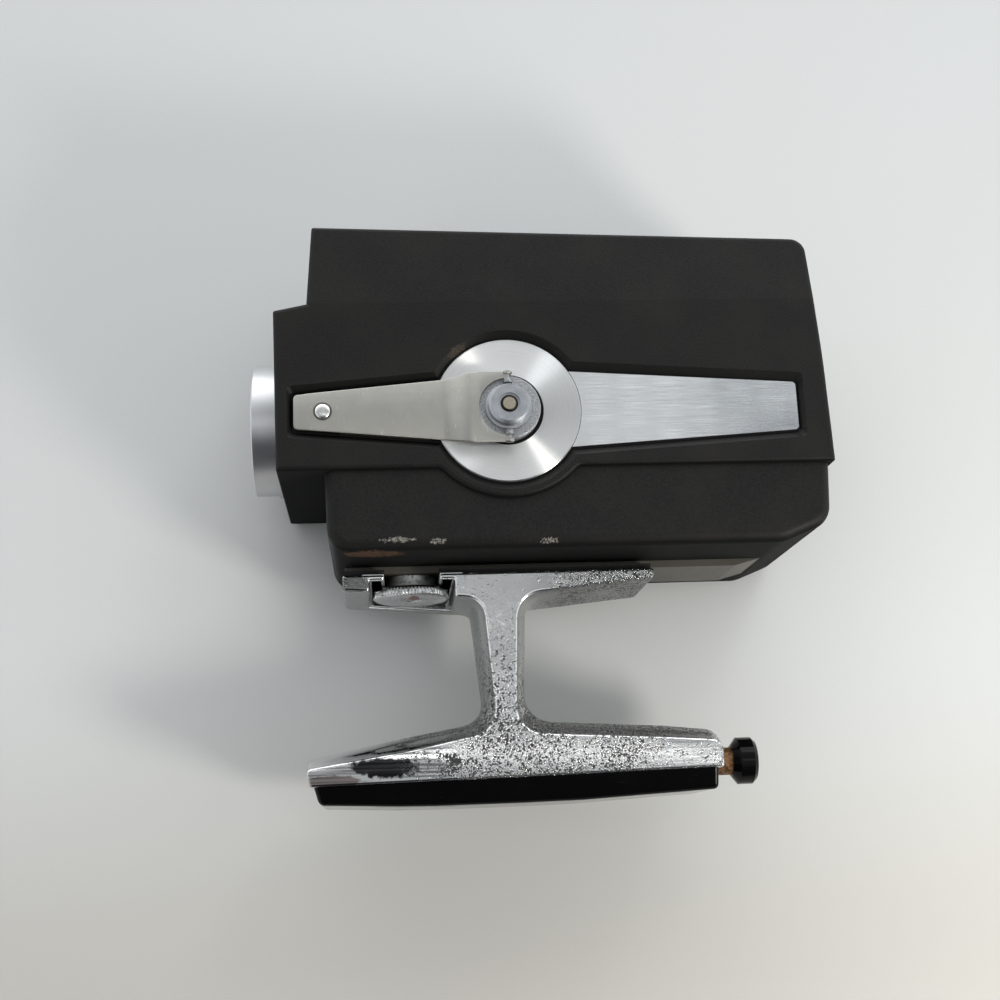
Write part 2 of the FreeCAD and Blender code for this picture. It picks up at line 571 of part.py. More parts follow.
# Clockwork and shutter
def make_motor():
    """Spring barrel, gear train, governor, shutter shaft and take-up drive on the web."""
    low = WEB_Z + WEB_THICK
    gear_z = (low + 2.7, low + 5.3)
    drum_low, drum_high = low + 5.3, BRIDGE_Z - 1.0
    lid_low = drum_high - 1.2
    arbor_bore = rod(ARBOR_R + RUNNING, vec(0, 0, 30), vec(0, 0, 70))
    drum = less(bar(BARREL_R, DRUM_SIDES, vec(0, 0, drum_low), vec(0, 0, lid_low)),
                bar(BARREL_R - 1.2, DRUM_SIDES, vec(0, 0, drum_low + 1.4), vec(0, 0, lid_low + 1)))
    rim = gear(BARREL_MODULE, BARREL_TEETH, *gear_z)
    keep("spring_barrel", joined(drum, rim).cut(arbor_bore))
    lid = bar(BARREL_R, DRUM_SIDES, vec(0, 0, lid_low), vec(0, 0, drum_high))
    keep("barrel_lid", lid.cut(arbor_bore))
    keep("mainspring", mainspring(drum_low + 1.8, drum_high - 1.6))

    mesh = math.atan2(SHAFT_Y, CENTRE_X)
    pinion = gear(BARREL_MODULE, PINION_TEETH, *gear_z, phase_opposite(mesh, BARREL_TEETH, PINION_TEETH))
    spur_z = (low + 0.3, SPUR_TOP_Z)
    spur = gear(SPUR_MODULE, SPUR_TEETH, *spur_z)
    face_high = SPUR_TOP_Z + 1.3
    teeth = []
    step = 360.0 / FACE_TEETH
    tooth = slab([(FACE_R - 0.8, -0.2), (FACE_R + 0.8, -0.2), (FACE_R + 0.8, 0.2), (FACE_R - 0.8, 0.2)],
                 spur_z[1], face_high)
    for n in range(FACE_TEETH):
        one = tooth.copy()
        one.rotate(vec(0, 0, 0), Z_AXIS, n * step + step / 2)
        teeth.append(one)
    body = rod(CENTRE_R, vec(0, 0, WEB_Z), vec(0, 0, BRIDGE_Z + BRIDGE_THICK))
    shoulder = bar(3.0, 12, vec(0, 0, spur_z[0]), vec(0, 0, gear_z[0]))
    wheel = joined(spur, body, shoulder, pinion, *teeth)
    keep("centre_wheel", at(wheel, CENTRE_X, SHAFT_Y))

    governor_gear = gear(SPUR_MODULE, GOVERNOR_TEETH, spur_z[0], spur_z[1],
                         phase_opposite(-math.pi / 2, SPUR_TEETH, GOVERNOR_TEETH))
    staff = rod(STAFF_R, vec(0, 0, WEB_Z), vec(0, 0, BRIDGE_Z + BRIDGE_THICK))
    boss = bar(1.7, 10, vec(0, 0, spur_z[1]), vec(0, 0, low + 9.0))
    arms = block(-5.6, 5.6, -0.8, 0.8, low + 9.0, low + 10.2)
    keep("governor_staff", at(joined(governor_gear, staff, boss, arms), CENTRE_X, GOVERNOR_Y))
    weights = []
    for sign in (-1, 1):
        outline = [(sign * 3.2, -2.4), (sign * 6.2, -1.6), (sign * 6.2, 1.6), (sign * 3.2, 2.4)]
        weights.append(at(slab(outline, low + 10.2, low + 14.5), CENTRE_X, GOVERNOR_Y))
    keep("governor_weights", Part.makeCompound(weights))
    cup = less(bar(7.8, DRUM_SIDES, vec(0, 0, low + 8.0), vec(0, 0, BRIDGE_Z)),
               bar(7.1, DRUM_SIDES, vec(0, 0, low + 7.0), vec(0, 0, BRIDGE_Z + 1)))
    keep("governor_cup", at(cup, CENTRE_X, GOVERNOR_Y))

    angle = math.atan2(TAKEUP_Y, TAKEUP_X)
    takeup = gear(BARREL_MODULE, TAKEUP_TEETH, *gear_z, phase_opposite(angle, BARREL_TEETH, TAKEUP_TEETH))
    hub = bar(3.4, 12, vec(0, 0, low + 0.2), vec(0, 0, gear_z[0]))
    takeup = joined(takeup, hub).cut(rod(SPINDLE_R, vec(0, 0, WEB_Z), vec(0, 0, BRIDGE_Z)))
    keep("takeup_gear", at(takeup, TAKEUP_X, TAKEUP_Y))
    key = block(SPINDLE_R - 0.5, SPINDLE_R + 1.0, -0.5, 0.5, 16, 22)
    keys = [key.rotated(vec(0, 0), Z_AXIS, 120 * n) for n in range(3)]
    spindle = joined(rod(SPINDLE_R, vec(0, 0, 14), vec(0, 0, gear_z[1] + 0.6)), *keys)
    keep("takeup_spindle", at(spindle, TAKEUP_X, TAKEUP_Y))

    bridge = slab([(-37, -23), (-37, 5), (-27, 25), (-24, 26), (26, 26), (29, 24), (33, 0), (33, -26),
                   (30, -29), (-14, -31)],
                  BRIDGE_Z, BRIDGE_Z + BRIDGE_THICK)
    top = BRIDGE_Z + BRIDGE_THICK
    holes = [rod(r + RUNNING, vec(x, y, BRIDGE_Z - 1), vec(x, y, top + 1)) for x, y, r in shaft_places()[:3]]
    shanks = [bar(1.0, 8, vec(x, y, top - 5), vec(x, y, top)) for x, y in PILLARS]
    heads = [bar(1.9, 12, vec(x, y, top), vec(x, y, top + 0.8)) for x, y in PILLARS]
    screws = [joined(shank, head) for shank, head in zip(shanks, heads)]
    pillars = Part.makeCompound([bar(2.2, 6, vec(x, y, low), vec(x, y, BRIDGE_Z)) for x, y in PILLARS])
    keep("bridge_plate", less(bridge, *holes, *screws))
    keep("bridge_pillars", less(pillars, *screws))
    keep("bridge_screws", Part.makeCompound(screws))


def phase_opposite(angle, driver_teeth, teeth):
    """Phase of a gear at the given direction from its driver, so that a tooth meets a gap."""
    driver_step = 2 * math.pi / driver_teeth
    step = 2 * math.pi / teeth
    offset = (angle / driver_step) % 1.0
    return angle + math.pi + (offset + 0.5) * step


def mainspring(z_low, z_high):
    """Flat spring wound in a spiral, from the arbor's core out to the drum; 20 flats to a turn."""
    thick = 1.0
    pitch = 4.4
    turns = 2.5
    inner_r = 8.0
    steps = round(20 * turns)
    angles = [2 * math.pi * turns * n / steps for n in range(steps + 1)]
    inner = [(inner_r + pitch * a / (2 * math.pi), a) for a in angles]
    outer = [(r + thick, a) for r, a in reversed(inner)]
    return slab([(r * math.cos(a), r * math.sin(a)) for r, a in inner + outer], z_low, z_high)


def make_shutter():
    """Shutter shaft with its pinion and claw cam, the shutter disc, bearing, gate and claw."""
    z = SHUTTER_Z
    pinion = gear(FACE_MODULE, SHUTTER_TEETH, -1.0, 1.0)
    pinion.Placement = FreeCAD.Placement(vec(CENTRE_X - FACE_R, SHAFT_Y, z), FreeCAD.Rotation(Z_AXIS, X_AXIS))
    shaft = rod(1.2, vec(-46.6, SHAFT_Y, z), vec(CENTRE_X - FACE_R + 1.5, SHAFT_Y, z))
    cam = bar(2.2, 16, vec(-44.6, SHAFT_Y + 0.7, z), vec(-43.4, SHAFT_Y + 0.7, z))
    keep("shutter_shaft", joined(shaft, pinion, cam))
    disc = bar(SHUTTER_R, DRUM_SIDES, vec(-46.2, SHAFT_Y, z), vec(-45.6, SHAFT_Y, z))
    hub = bar(2.6, 12, vec(-45.6, SHAFT_Y, z), vec(-44.8, SHAFT_Y, z))
    toward = math.degrees(math.atan2(LENS_Z - z, LENS_Y - SHAFT_Y))
    opening = shutter_opening(toward)
    disc = less(joined(disc, hub), opening, rod(1.2, vec(-50, SHAFT_Y, z), vec(-40, SHAFT_Y, z)))
    keep("shutter_disc", disc)
    low = WEB_Z + WEB_THICK
    shaft_bore = rod(1.2 + RUNNING, vec(-50, SHAFT_Y, z), vec(-30, SHAFT_Y, z))
    upright = block(-42.4, -40.6, SHAFT_Y - 3, SHAFT_Y + 3, low, z + 3).cut(shaft_bore)
    keep("shutter_bearing", joined(upright, block(-42.4, -40.6, SHAFT_Y - 6, SHAFT_Y + 6, low, low + 2)))
    claw_slot = block(-44, -40, SHAFT_Y - 1.0, SHAFT_Y + 1.4, 27.8, 29.4)
    aperture = block(-44, -40, LENS_Y - 1.65, LENS_Y + 1.65, LENS_Z - 2.25, LENS_Z + 2.25)
    keep("film_gate", less(block(-43.0, -41.8, -14, 24, 4, WEB_Z), aperture, claw_slot))
    plate = block(-41.4, -40.2, -8, 19, 20, WEB_Z - 1.6)
    plate = rounded(plate, 0.5, lambda e: e.BoundBox.XLength > 1)
    keep("pressure_plate", joined(plate, block(-41.4, -40.2, 3, 9, WEB_Z - 2, WEB_Z)).cut(claw_slot))
    yoke = block(-44.3, -43.8, SHAFT_Y - 4.2, SHAFT_Y + 4.2, z - 4.2, z + 4.2)
    arm = block(-44.3, -43.8, SHAFT_Y - 1.2, SHAFT_Y + 1.2, 27.8, z)
    tooth = block(-43.8, -41.2, SHAFT_Y - 0.4, SHAFT_Y + 0.4, 28.2, 29.0)
    slide_stud = bar(1.1, 8, vec(-43.8, SHAFT_Y, 34), vec(-43.0, SHAFT_Y, 34))
    cam_room = block(-45, -43, SHAFT_Y - 3.1, SHAFT_Y + 3.1, z - 3.1, z + 3.1)
    keep("film_claw", joined(joined(yoke, arm).cut(cam_room), tooth, slide_stud))


def shutter_opening(toward):
    """Open sector of the disc, turned towards the lens axis; angles about the shaft."""
    z = SHUTTER_Z
    half = math.radians(75)
    mid = math.radians(toward)
    corners = [(8.0, mid - half), (40.0, mid - half), (60.0, mid), (40.0, mid + half), (8.0, mid + half),
               (8.0, mid)]
    points = [vec(-47, SHAFT_Y + r * math.cos(angle), z + r * math.sin(angle)) for r, angle in corners]
    face = Part.Face(Part.makePolygon(points + points[:1]))
    return facing_out(face.extrude(vec(3, 0, 0)))


def make_door():
    """Film door in the right cover, on a hinge pin along its lower edge, with a finger notch."""
    x0, x1 = DOOR_X[0] + 0.4, DOOR_X[1] - 0.4
    z_low, z_high = DOOR_Z
    y, z = DOOR_HINGE_Y, DOOR_HINGE_Z
    leaf = block(x0, x1, y, DOOR_Y[1] - 0.4, z_low, z_high)
    leaf = rounded(leaf, 2.5, lambda e: is_door_corner(e, DOOR_Y[1] - 0.4))
    roll = rod((z_high - z_low) / 2, vec(x0, y, z), vec(x1, y, z))
    middle_x = (x0 + x1) / 2
    notch = rod(7.0, vec(middle_x, DOOR_Y[1] + 4.2, z_low - 1), vec(middle_x, DOOR_Y[1] + 4.2, z_low + 0.8))
    pin_bore = rod(0.45 + RUNNING, vec(x0 - 1, y, z), vec(x1 + 1, y, z))
    keep("film_door", less(joined(leaf, roll), notch, pin_bore))
    keep("door_pin", rod(0.45, vec(DOOR_X[0], y, z), vec(DOOR_X[1], y, z)))
    catch_x = middle_x + 14
    keep("door_catch", block(catch_x, catch_x + 10, DOOR_Y[1] - 2.4, DOOR_Y[1] + 5, WALL, WALL + 0.5))


def is_door_corner(edge, y):
    box = edge.BoundBox
    return box.ZLength > 1 and box.XLength < 0.01 and abs(box.YMin - y) < 0.01


def make_base():
    """Plate under the housing with a threaded bush for the tripod screw."""
    low = UNDERSIDE_Y - BASE_THICK
    plate = slab([(-46.0, UNDERSIDE_Y), (-45.0, low), (66.5, low), (74.0, UNDERSIDE_Y)], BASE_Z[0], BASE_Z[1])
    hole = rod(5.0, vec(SCREW_X, low - 1, GRIP_Z), vec(SCREW_X, UNDERSIDE_Y + 3, GRIP_Z))
    PIECES["main_casting"] = PIECES["main_casting"].cut(hole)
    keep("base_plate", plate.cut(hole))
    bush = less(rod(5.0, vec(SCREW_X, low, GRIP_Z), vec(SCREW_X, UNDERSIDE_Y + 2.2, GRIP_Z)),
                rod(SCREW_R + RUNNING, vec(SCREW_X, low - 1, GRIP_Z), vec(SCREW_X, UNDERSIDE_Y + 5, GRIP_Z)))
    keep("tripod_bush", bush)


def grip_outline(inset):
    """Corners of the grip seen from the side; inset is 0 in its middle plane and 1 at a side face."""
    s = inset
    bar_front, bar_rear = -46.6, 41.2
    return [(bar_front, GRIP_TOP_Y), (bar_front, -46.4, 1.2), (-10.6 + 3.0 * s, -49.4, 5.0 + 1.5 * s),
            (-7.2 + 2.4 * s, -82.6 - 3.4 * s, 7.5), (-28.6, -86.2 - 4.6 * s, 20.0),
            (GRIP_FRONT_X, -91.7 - 3.4 * s, 1.5), (GRIP_FRONT_X + 1.2, SEAM_FRONT_Y),
            (GRIP_REAR_X, SEAM_REAR_Y), (GRIP_REAR_X, -87.1 - 3.4 * s, 3.5), (43.0, -85.4 - 4.0 * s, 12.0),
            (3.7 - 3.2 * s, -82.8 - 4.0 * s, 7.5), (5.4 - 3.2 * s, -48.9, 6.0 + 1.5 * s),
            (bar_rear, -45.0, 1.2), (bar_rear, GRIP_TOP_Y)]


def make_grip():
    """One-piece cast grip: top bar, tapering stem, lower bar; its edges fall away from the middle."""
    z_low, z_high = GRIP_Z - GRIP_HALF, GRIP_Z + GRIP_HALF
    levels = ((-1.0, 1.0), (-0.8, 0.45), (-0.35, 0.06), (0.35, 0.06), (0.8, 0.45), (1.0, 1.0))
    sections = [wire_of(grip_outline(inset), GRIP_Z + GRIP_HALF * height) for height, inset in levels]
    casting = Part.makeLoft(sections, True, True)
    slot_half = WHEEL_R + 0.9
    wheel_slot = block(SCREW_X - slot_half, SCREW_X + slot_half, -60, WHEEL_TOP_Y + 0.3, z_low - 1,
                       z_high + 1)
    notch = joined(rod(NOTCH_R, vec(SCREW_X, -60, GRIP_Z), vec(SCREW_X, PAD_TOP_Y, GRIP_Z)),
                   block(SCREW_X - NOTCH_R, SCREW_X + NOTCH_R, -60, PAD_TOP_Y, GRIP_Z, z_high + 1))
    bore = rod(PLUNGER_R + RUNNING, vec(29.0, PLUNGER_Y, GRIP_Z), vec(70, PLUNGER_Y, GRIP_Z))
    keep("grip_casting", less(casting, wheel_slot, notch.common(layer(z_low - 1, z_high + 1)), bore))
    pad = block(-46.0, 40.6, GRIP_TOP_Y, PAD_TOP_Y, z_low + 2, z_high - 2)
    keep("rubber_pad", pad.cut(notch))
    palm = [(-55.0, seam_y(-55.0)), (-53.6, -104.8, 2.0), (-32.0, -105.8), (-22.0, GRIP_BOTTOM_Y),
            (0.0, GRIP_BOTTOM_Y), (18.0, -105.8), (55.5, -104.1, 1.5), (55.9, seam_y(55.9))]
    palm_pad = rounded(slab(palm, z_low + 0.2, z_high - 0.2), 1.2, is_long_low)
    groove = rod(PLUNGER_R + 0.3, vec(28.0, PLUNGER_Y, GRIP_Z), vec(70, PLUNGER_Y, GRIP_Z))
    keep("palm_pad", palm_pad.cut(groove))
    wheel = knurled(WHEEL_R, 66, WHEEL_TOP_Y - WHEEL_THICK, WHEEL_TOP_Y)
    collar = rod(NOTCH_R - 0.5, vec(SCREW_X, WHEEL_TOP_Y, GRIP_Z), vec(SCREW_X, PAD_TOP_Y - 0.1, GRIP_Z))
    thread = rod(SCREW_R, vec(SCREW_X, WHEEL_TOP_Y, GRIP_Z), vec(SCREW_X, UNDERSIDE_Y + 2.0, GRIP_Z))
    keep("grip_screw", joined(wheel, collar, thread))
    button_x = GRIP_REAR_X + 3.1 + PLUNGER_TRAVEL
    stem_end = button_x + 1.1
    keep("plunger_stem", rod(PLUNGER_R, vec(34.0, PLUNGER_Y, GRIP_Z), vec(stem_end, PLUNGER_Y, GRIP_Z)))
    button = [(PLUNGER_R, 0), (4.4, 0), (6.6, 1.7), (6.6, 5.7), (5.6, 6.8), (0, 7.3), (0, 1.1),
              (PLUNGER_R, 1.1)]
    keep("plunger_button", turned(button, vec(button_x, PLUNGER_Y, GRIP_Z), X_AXIS))


def seam_y(x):
    """Height of the seam of casting and pad, which rises a little to the rear."""
    slope = (SEAM_REAR_Y - SEAM_FRONT_Y) / (GRIP_REAR_X - GRIP_FRONT_X - 1.2)
    return SEAM_FRONT_Y + slope * (x - GRIP_FRONT_X - 1.2)


def is_long_low(edge):
    box = edge.BoundBox
    return box.ZLength < 0.01 and box.YMin < -100.5 and box.XLength > 0.05


def knurled(radius, ridges, y_low, y_high):
    """Thumbwheel with a notched rim, on the axis of the tripod screw."""
    corners = []
    for n in range(ridges):
        for shift, r in ((0.0, radius), (0.5, radius - 0.45)):
            angle = 2 * math.pi * (n + shift) / ridges
            corners.append((r * math.cos(angle), r * math.sin(angle)))
    wheel = slab(corners, 0, y_high - y_low)
    wheel.Placement = FreeCAD.Placement(vec(SCREW_X, y_low, GRIP_Z), FreeCAD.Rotation(Z_AXIS, Y_AXIS))
    return wheel


make_housing()
make_front_panel()
make_lens()
make_viewfinder()
make_side_trim()
make_winding()
make_crank()
make_motor()
make_shutter()
make_door()
make_base()
make_grip()

whole = Part.makeCompound(list(PIECES.values())).optimalBoundingBox()
SHIFT = vec(-whole.Center.x, -whole.Center.y, -whole.ZMin)
os.makedirs("parts", exist_ok=True)
for name, shape in PIECES.items():
    shape.translate(SHIFT)
    shape.exportStep("parts/" + name + ".step")
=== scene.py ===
import math

import bmesh
import bpy
import numpy as np
from mathutils import Matrix, Vector


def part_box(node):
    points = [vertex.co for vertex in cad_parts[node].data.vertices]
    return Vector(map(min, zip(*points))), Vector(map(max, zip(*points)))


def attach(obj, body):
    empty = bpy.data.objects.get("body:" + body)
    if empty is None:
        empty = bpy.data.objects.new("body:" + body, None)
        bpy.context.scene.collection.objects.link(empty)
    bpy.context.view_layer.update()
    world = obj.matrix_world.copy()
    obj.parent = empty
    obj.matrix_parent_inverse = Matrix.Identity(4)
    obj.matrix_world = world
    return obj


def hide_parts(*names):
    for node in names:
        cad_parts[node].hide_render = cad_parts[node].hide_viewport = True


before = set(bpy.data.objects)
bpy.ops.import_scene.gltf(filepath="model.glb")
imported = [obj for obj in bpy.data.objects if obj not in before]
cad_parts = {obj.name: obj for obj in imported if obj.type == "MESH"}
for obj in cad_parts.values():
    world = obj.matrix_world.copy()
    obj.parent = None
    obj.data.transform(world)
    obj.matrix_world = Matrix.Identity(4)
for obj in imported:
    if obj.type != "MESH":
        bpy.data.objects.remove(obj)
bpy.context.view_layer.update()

MM = 0.001

# The movie camera lies on its right side on a white table and is seen from above its left side,
# with the grip towards the viewer. Its winding axis is the point from which this side is measured.
disc_low, disc_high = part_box("trim_disc")
hub = (disc_low + disc_high) / 2
hub.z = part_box("left_cover")[1].z

viewer_right = Vector((0.99647, -0.03891, 0.07434))
viewer_forward = Vector((0.08134, 0.23037, -0.96970))
viewer_up = viewer_right.cross(viewer_forward)
viewer_place = hub + Vector((-36.33, -119.62, 394.67)) * MM
viewer = bpy.data.objects.new("viewer", bpy.data.cameras.new("viewer"))
viewer.data.lens = 54
viewer.data.sensor_width = 36
viewer.data.clip_start = 0.01
turn = Matrix((viewer_right, viewer_up, -viewer_forward)).transposed().to_4x4()
viewer.matrix_world = Matrix.Translation(viewer_place) @ turn
bpy.context.scene.collection.objects.link(viewer)
bpy.context.scene.camera = viewer
bpy.context.scene.view_settings.view_transform = "Standard"


# Table top of white laminate, seen only as the ground. Its colour runs warmer and greyer towards the near
# side: painted shade, for the light that falls off there. The tools for finishes that every other piece
# uses too are made here.
class Link:
    """Output of a shader node. Sums on it add the Math nodes that work them out; node() adds any other."""

    def __init__(self, socket):
        self.socket = socket

    def node(self, kind, settings, sockets, out=0):
        """New node of that kind: its settings first, then its sockets, to values or to links."""
        tree = self.socket.id_data
        made = tree.nodes.new("ShaderNode" + kind)
        for key, value in settings.items():
            setattr(made, key, value)
        for key, value in sockets.items():
            if isinstance(value, Link):
                tree.links.new(value.socket, made.inputs[key])
            else:
                made.inputs[key].default_value = value
        return Link(made.outputs[out])

    def math(self, operation, *values):
        """Math node with that operation on numbers and links."""
        return self.node("Math", {"operation": operation}, dict(enumerate(values)))

    def __add__(self, other):
        return self.math("ADD", self, other)

    def __radd__(self, other):
        return self.math("ADD", other, self)

    def __sub__(self, other):
        return self.math("SUBTRACT", self, other)

    def __rsub__(self, other):
        return self.math("SUBTRACT", other, self)

    def __mul__(self, other):
        return self.math("MULTIPLY", self, other)

    def __rmul__(self, other):
        return self.math("MULTIPLY", other, self)

    def vector(self, operation, *values):
        """Vector Math on this vector and the others."""
        return self.node("VectorMath", {"operation": operation}, dict(enumerate((self, *values))))

    def length(self):
        """Length of this vector."""
        return self.node("VectorMath", {"operation": "LENGTH"}, {0: self}, out=1)

    def scaled(self, amount):
        """This vector times a number or a link."""
        return self.node("VectorMath", {"operation": "SCALE"}, {0: self, "Scale": amount})

    def split(self):
        """The x, y and z of this vector."""
        parts = self.node("SeparateXYZ", {}, {0: self}).socket.node
        return [Link(output) for output in parts.outputs]

    def between(self, low, high):
        """0 below low, 1 above high, and smooth between; low may be the larger one."""
        return self.node("MapRange", {"interpolation_type": "SMOOTHSTEP"},
                         {"Value": self, "From Min": low, "From Max": high})

    def shade(self, low, high):
        """Colour that runs from low to high as this value runs from 0 to 1: 6 and 7 are the Mix node's
        colour sockets, and 2 is its colour output."""
        return self.node("Mix", {"data_type": "RGBA"}, {0: self, 6: low, 7: high}, out=2)

    def noise(self, scale, detail=2.0, rough=0.5):
        """Fractal noise about 0.5, with that many features in a millimetre."""
        return self.node("TexNoise", {},
                         {"Vector": self, "Scale": scale, "Detail": detail, "Roughness": rough})

    def bump(self, depth, strength=1.0):
        """Normal of a relief that is depth mm high where this value is 1."""
        return self.node("Bump", {}, {"Strength": strength, "Distance": depth * MM, "Height": self})


def tone(red, green, blue):
    """Linear colour of an sRGB one that is given from 0 to 255, with full alpha."""
    return (*[((c / 255 + 0.055) / 1.055) ** 2.4 for c in (red, green, blue)], 1)


def new_finish(name):
    """New material, its shader, and the place of a point in mm from the winding axis on the belt."""
    material = bpy.data.materials.new(name)
    material.use_nodes = True
    shader = material.node_tree.nodes["Principled BSDF"]
    point = Link(material.node_tree.nodes.new("ShaderNodeTexCoord").outputs["Object"])
    return material, shader, point.vector("SUBTRACT", tuple(hub)).scaled(1 / MM)


def feed(shader, links, **plain):
    """Put links on the shader's sockets, and plain values on its own sockets."""
    for key, link in links.items():
        shader.id_data.links.new(link.socket, shader.inputs[key])
    for key, value in plain.items():
        shader.inputs[key.replace("_", " ")].default_value = value


# In metres. The top lies a hair under the camera's rim, so that no two faces share a plane.
table_half, table_z = 3.0, -0.00003
corners = [(-table_half, -table_half, table_z), (table_half, -table_half, table_z),
           (table_half, table_half, table_z), (-table_half, table_half, table_z)]
table_mesh = bpy.data.meshes.new("table")
table_mesh.from_pydata(corners, [], [(0, 1, 2, 3)])
table = bpy.data.objects.new("table", table_mesh)
bpy.context.scene.collection.objects.link(table)
laminate, shader, place = new_finish("white laminate")
# Painted shade: the laminate's colour runs darker and warmer towards the near side.
colour = place.split()[1].between(-50, -160).shade(tone(221, 223, 223), tone(196, 193, 187))
colour = (place.noise(0.006, 3.0) * 0.35).shade(colour, tone(214, 212, 206))
feed(shader, {"Base Color": colour, "Normal": place.noise(0.9).bump(0.2, 0.15)}, Roughness=0.5)
table_mesh.materials.append(laminate)


# Light of the room: a small window on the near right, a long lamp overhead, a tall window far off to
# the right, and pale walls that are brightest on the far side, under a darker ceiling. The one who
# looks on stands as a dark shape on the near side.
def lamp(name, place, width, height, power, colour):
    """Soft light of that power in watts, as a rectangle that faces the winding axis from a place in metres
    from it, with its height as near to upright as that lets it."""
    light = bpy.data.lights.new(name, "AREA")
    light.shape = "RECTANGLE"
    light.size = width
    light.size_y = height
    light.energy = power
    light.color = colour
    made = bpy.data.objects.new(name, light)
    made.rotation_mode = "QUATERNION"
    made.location = hub + Vector(place)
    made.rotation_quaternion = Vector(place).to_track_quat("Z", "Y")
    bpy.context.scene.collection.objects.link(made)


lamp("window", (0.33, -0.27, 0.26), 0.10, 0.10, 1.15, (1.0, 0.97, 0.90))
lamp("overhead", (0.10, -0.03, 1.00), 0.09, 0.60, 0.34, (1.0, 1.0, 0.99))
lamp("far_window", (0.52, 0.80, 0.75), 0.22, 0.40, 1.1, (0.93, 0.97, 1.0))

world = bpy.data.worlds.new("room")
world.use_nodes = True
bpy.context.scene.world = world
background = world.node_tree.nodes["Background"]
direction = Link(world.node_tree.nodes.new("ShaderNodeTexCoord").outputs["Generated"])
north, up = direction.split()[1:]
far_side = north.between(0.15, 0.9)
walls = far_side.shade((1.15, 1.18, 1.21, 1), (2.3, 2.34, 2.38, 1))
level = (up - 0.28 * far_side).between(0.0, 0.95).shade(walls, (0.46, 0.475, 0.485, 1))
patches = direction.noise(1.6, 1.0).shade((0.85, 0.85, 0.85, 1), (1.15, 1.15, 1.15, 1))
level = patches.vector("MULTIPLY", level)
towards_onlooker = (0.0, -0.84, 0.54)
onlooker = direction.node("VectorMath", {"operation": "DOT_PRODUCT"},
                          {0: direction, 1: towards_onlooker}, out=1).between(0.76, 0.90)
feed(background, {"Color": onlooker.shade(level, (0.035, 0.035, 0.04, 1))}, Strength=1.0)


def dress(material, *nodes):
    """Give CAD nodes this finish in place of the plain one."""
    for name in nodes:
        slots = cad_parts[name].data.materials
        slots.clear()
        slots.append(material)


# Die-cast housing in three layers: the left cover with the belt, the main casting and the right
# cover, with the film door. It is sprayed with a fine dark wrinkle paint. The paint is knocked off
# to the metal along the near lower edge, and rust has come through at the front of the underside.
def face_normal(shader):
    """Normal of the surface as the shader sees it, before any relief."""
    return Link(shader.id_data.nodes.new("ShaderNodeNewGeometry").outputs["Normal"])


def crevice(place, reach):
    """0 deep in a gap or corner, 1 on an open face, out to that many mm from the walls round it."""
    return place.node("AmbientOcclusion", {"samples": 8}, {"Distance": reach * MM}, out=1)


def blot(place, middle, reach, ragged):
    """1 inside an ellipsoid round that middle, 0 outside, with an edge that noise makes ragged."""
    size = place.vector("SUBTRACT", middle).vector("DIVIDE", reach).length()
    return (size + ragged * (place.noise(0.7, 3.0) - 0.5)).between(1.15, 0.85)


def either(first, second):
    """The larger of two masks."""
    return first.math("MAXIMUM", first, second)


wrinkle, shader, place = new_finish("dark wrinkle paint")
crinkle = place.noise(2.3, 3.0, 0.65)
stain = place.noise(0.05, 4.0)
colour = crinkle.between(0.3, 0.7).shade(tone(9, 9, 9), tone(29, 28, 27))
colour = (stain.between(0.35, 0.8) * 0.5).shade(colour, tone(36, 34, 31))
# Painted shade: the paint is darkened in gaps, seams and corners, as far as the occlusion reaches.
colour = crevice(place, 3.5).between(0.45, 0.9).shade(tone(5, 5, 5), colour)
# Painted shade: faces turned to the underside are painted near black; they are also made rougher.
under = face_normal(shader).split()[1].between(-0.5, -0.9)
colour = (under * 0.9).shade(colour, tone(4, 4, 4))
rust = blot(place, (-38, -39.6, -7.5), (9, 3, 4.0), 1.0)
rubbed = blot(place, (-13, 16.8, -0.9), (3.6, 2.4, 1.1), 1.6)
chips = [blot(place, (cx, cy, -3.0), (reach, 0.7, 9.0), 2.4)
         for cx, cy, reach in ((-31, -35.9, 4.5), (-20, -36.4, 2.0), (10, -37.0, 2.6))]
bare = either(either(chips[0], chips[1]), chips[2]) * crinkle.between(0.44, 0.56)
colour = (rust * 0.85).shade(colour, place.noise(0.5, 4.0).shade(tone(44, 32, 25), tone(108, 78, 58)))
colour = (rubbed * crinkle.between(0.35, 0.6) * 0.6).shade(colour, tone(84, 70, 56))
colour = (bare * 0.6).shade(colour, tone(176, 170, 162))
feed(shader, {"Base Color": colour, "Roughness": 0.46 + 0.2 * crinkle - 0.1 * stain + 0.35 * under,
              "Normal": crinkle.bump(0.10, 0.75)}, Specular_IOR_Level=0.2)
dress(wrinkle, "left_cover", "main_casting", "right_cover", "film_door")

# Base plate of cast aluminium under the housing, painted in a satin grey, with smudges of handling.
grey_paint, shader, place = new_finish("satin grey paint")
grit = place.noise(1.6)
feed(shader, {"Base Color": place.noise(0.08, 4.0).shade(tone(68, 65, 58), tone(92, 88, 80)),
              "Roughness": 0.38 + 0.25 * grit, "Normal": grit.bump(0.06, 0.5)})
dress(grey_paint, "base_plate")

# Front panel, lens barrel and the blackened pieces behind the lens: dark satin lacquer, dusty.
lacquer, shader, place = new_finish("dark satin lacquer")
dust = place.noise(0.25, 5.0, 0.6)
feed(shader, {"Base Color": dust.between(0.45, 0.8).shade(tone(24, 24, 24), tone(52, 50, 47)),
              "Roughness": 0.32 + 0.3 * dust, "Normal": place.noise(1.4).bump(0.03, 0.4)})
dress(lacquer, "front_panel", "lens_barrel", "governor_cup", "film_gate", "shutter_disc")


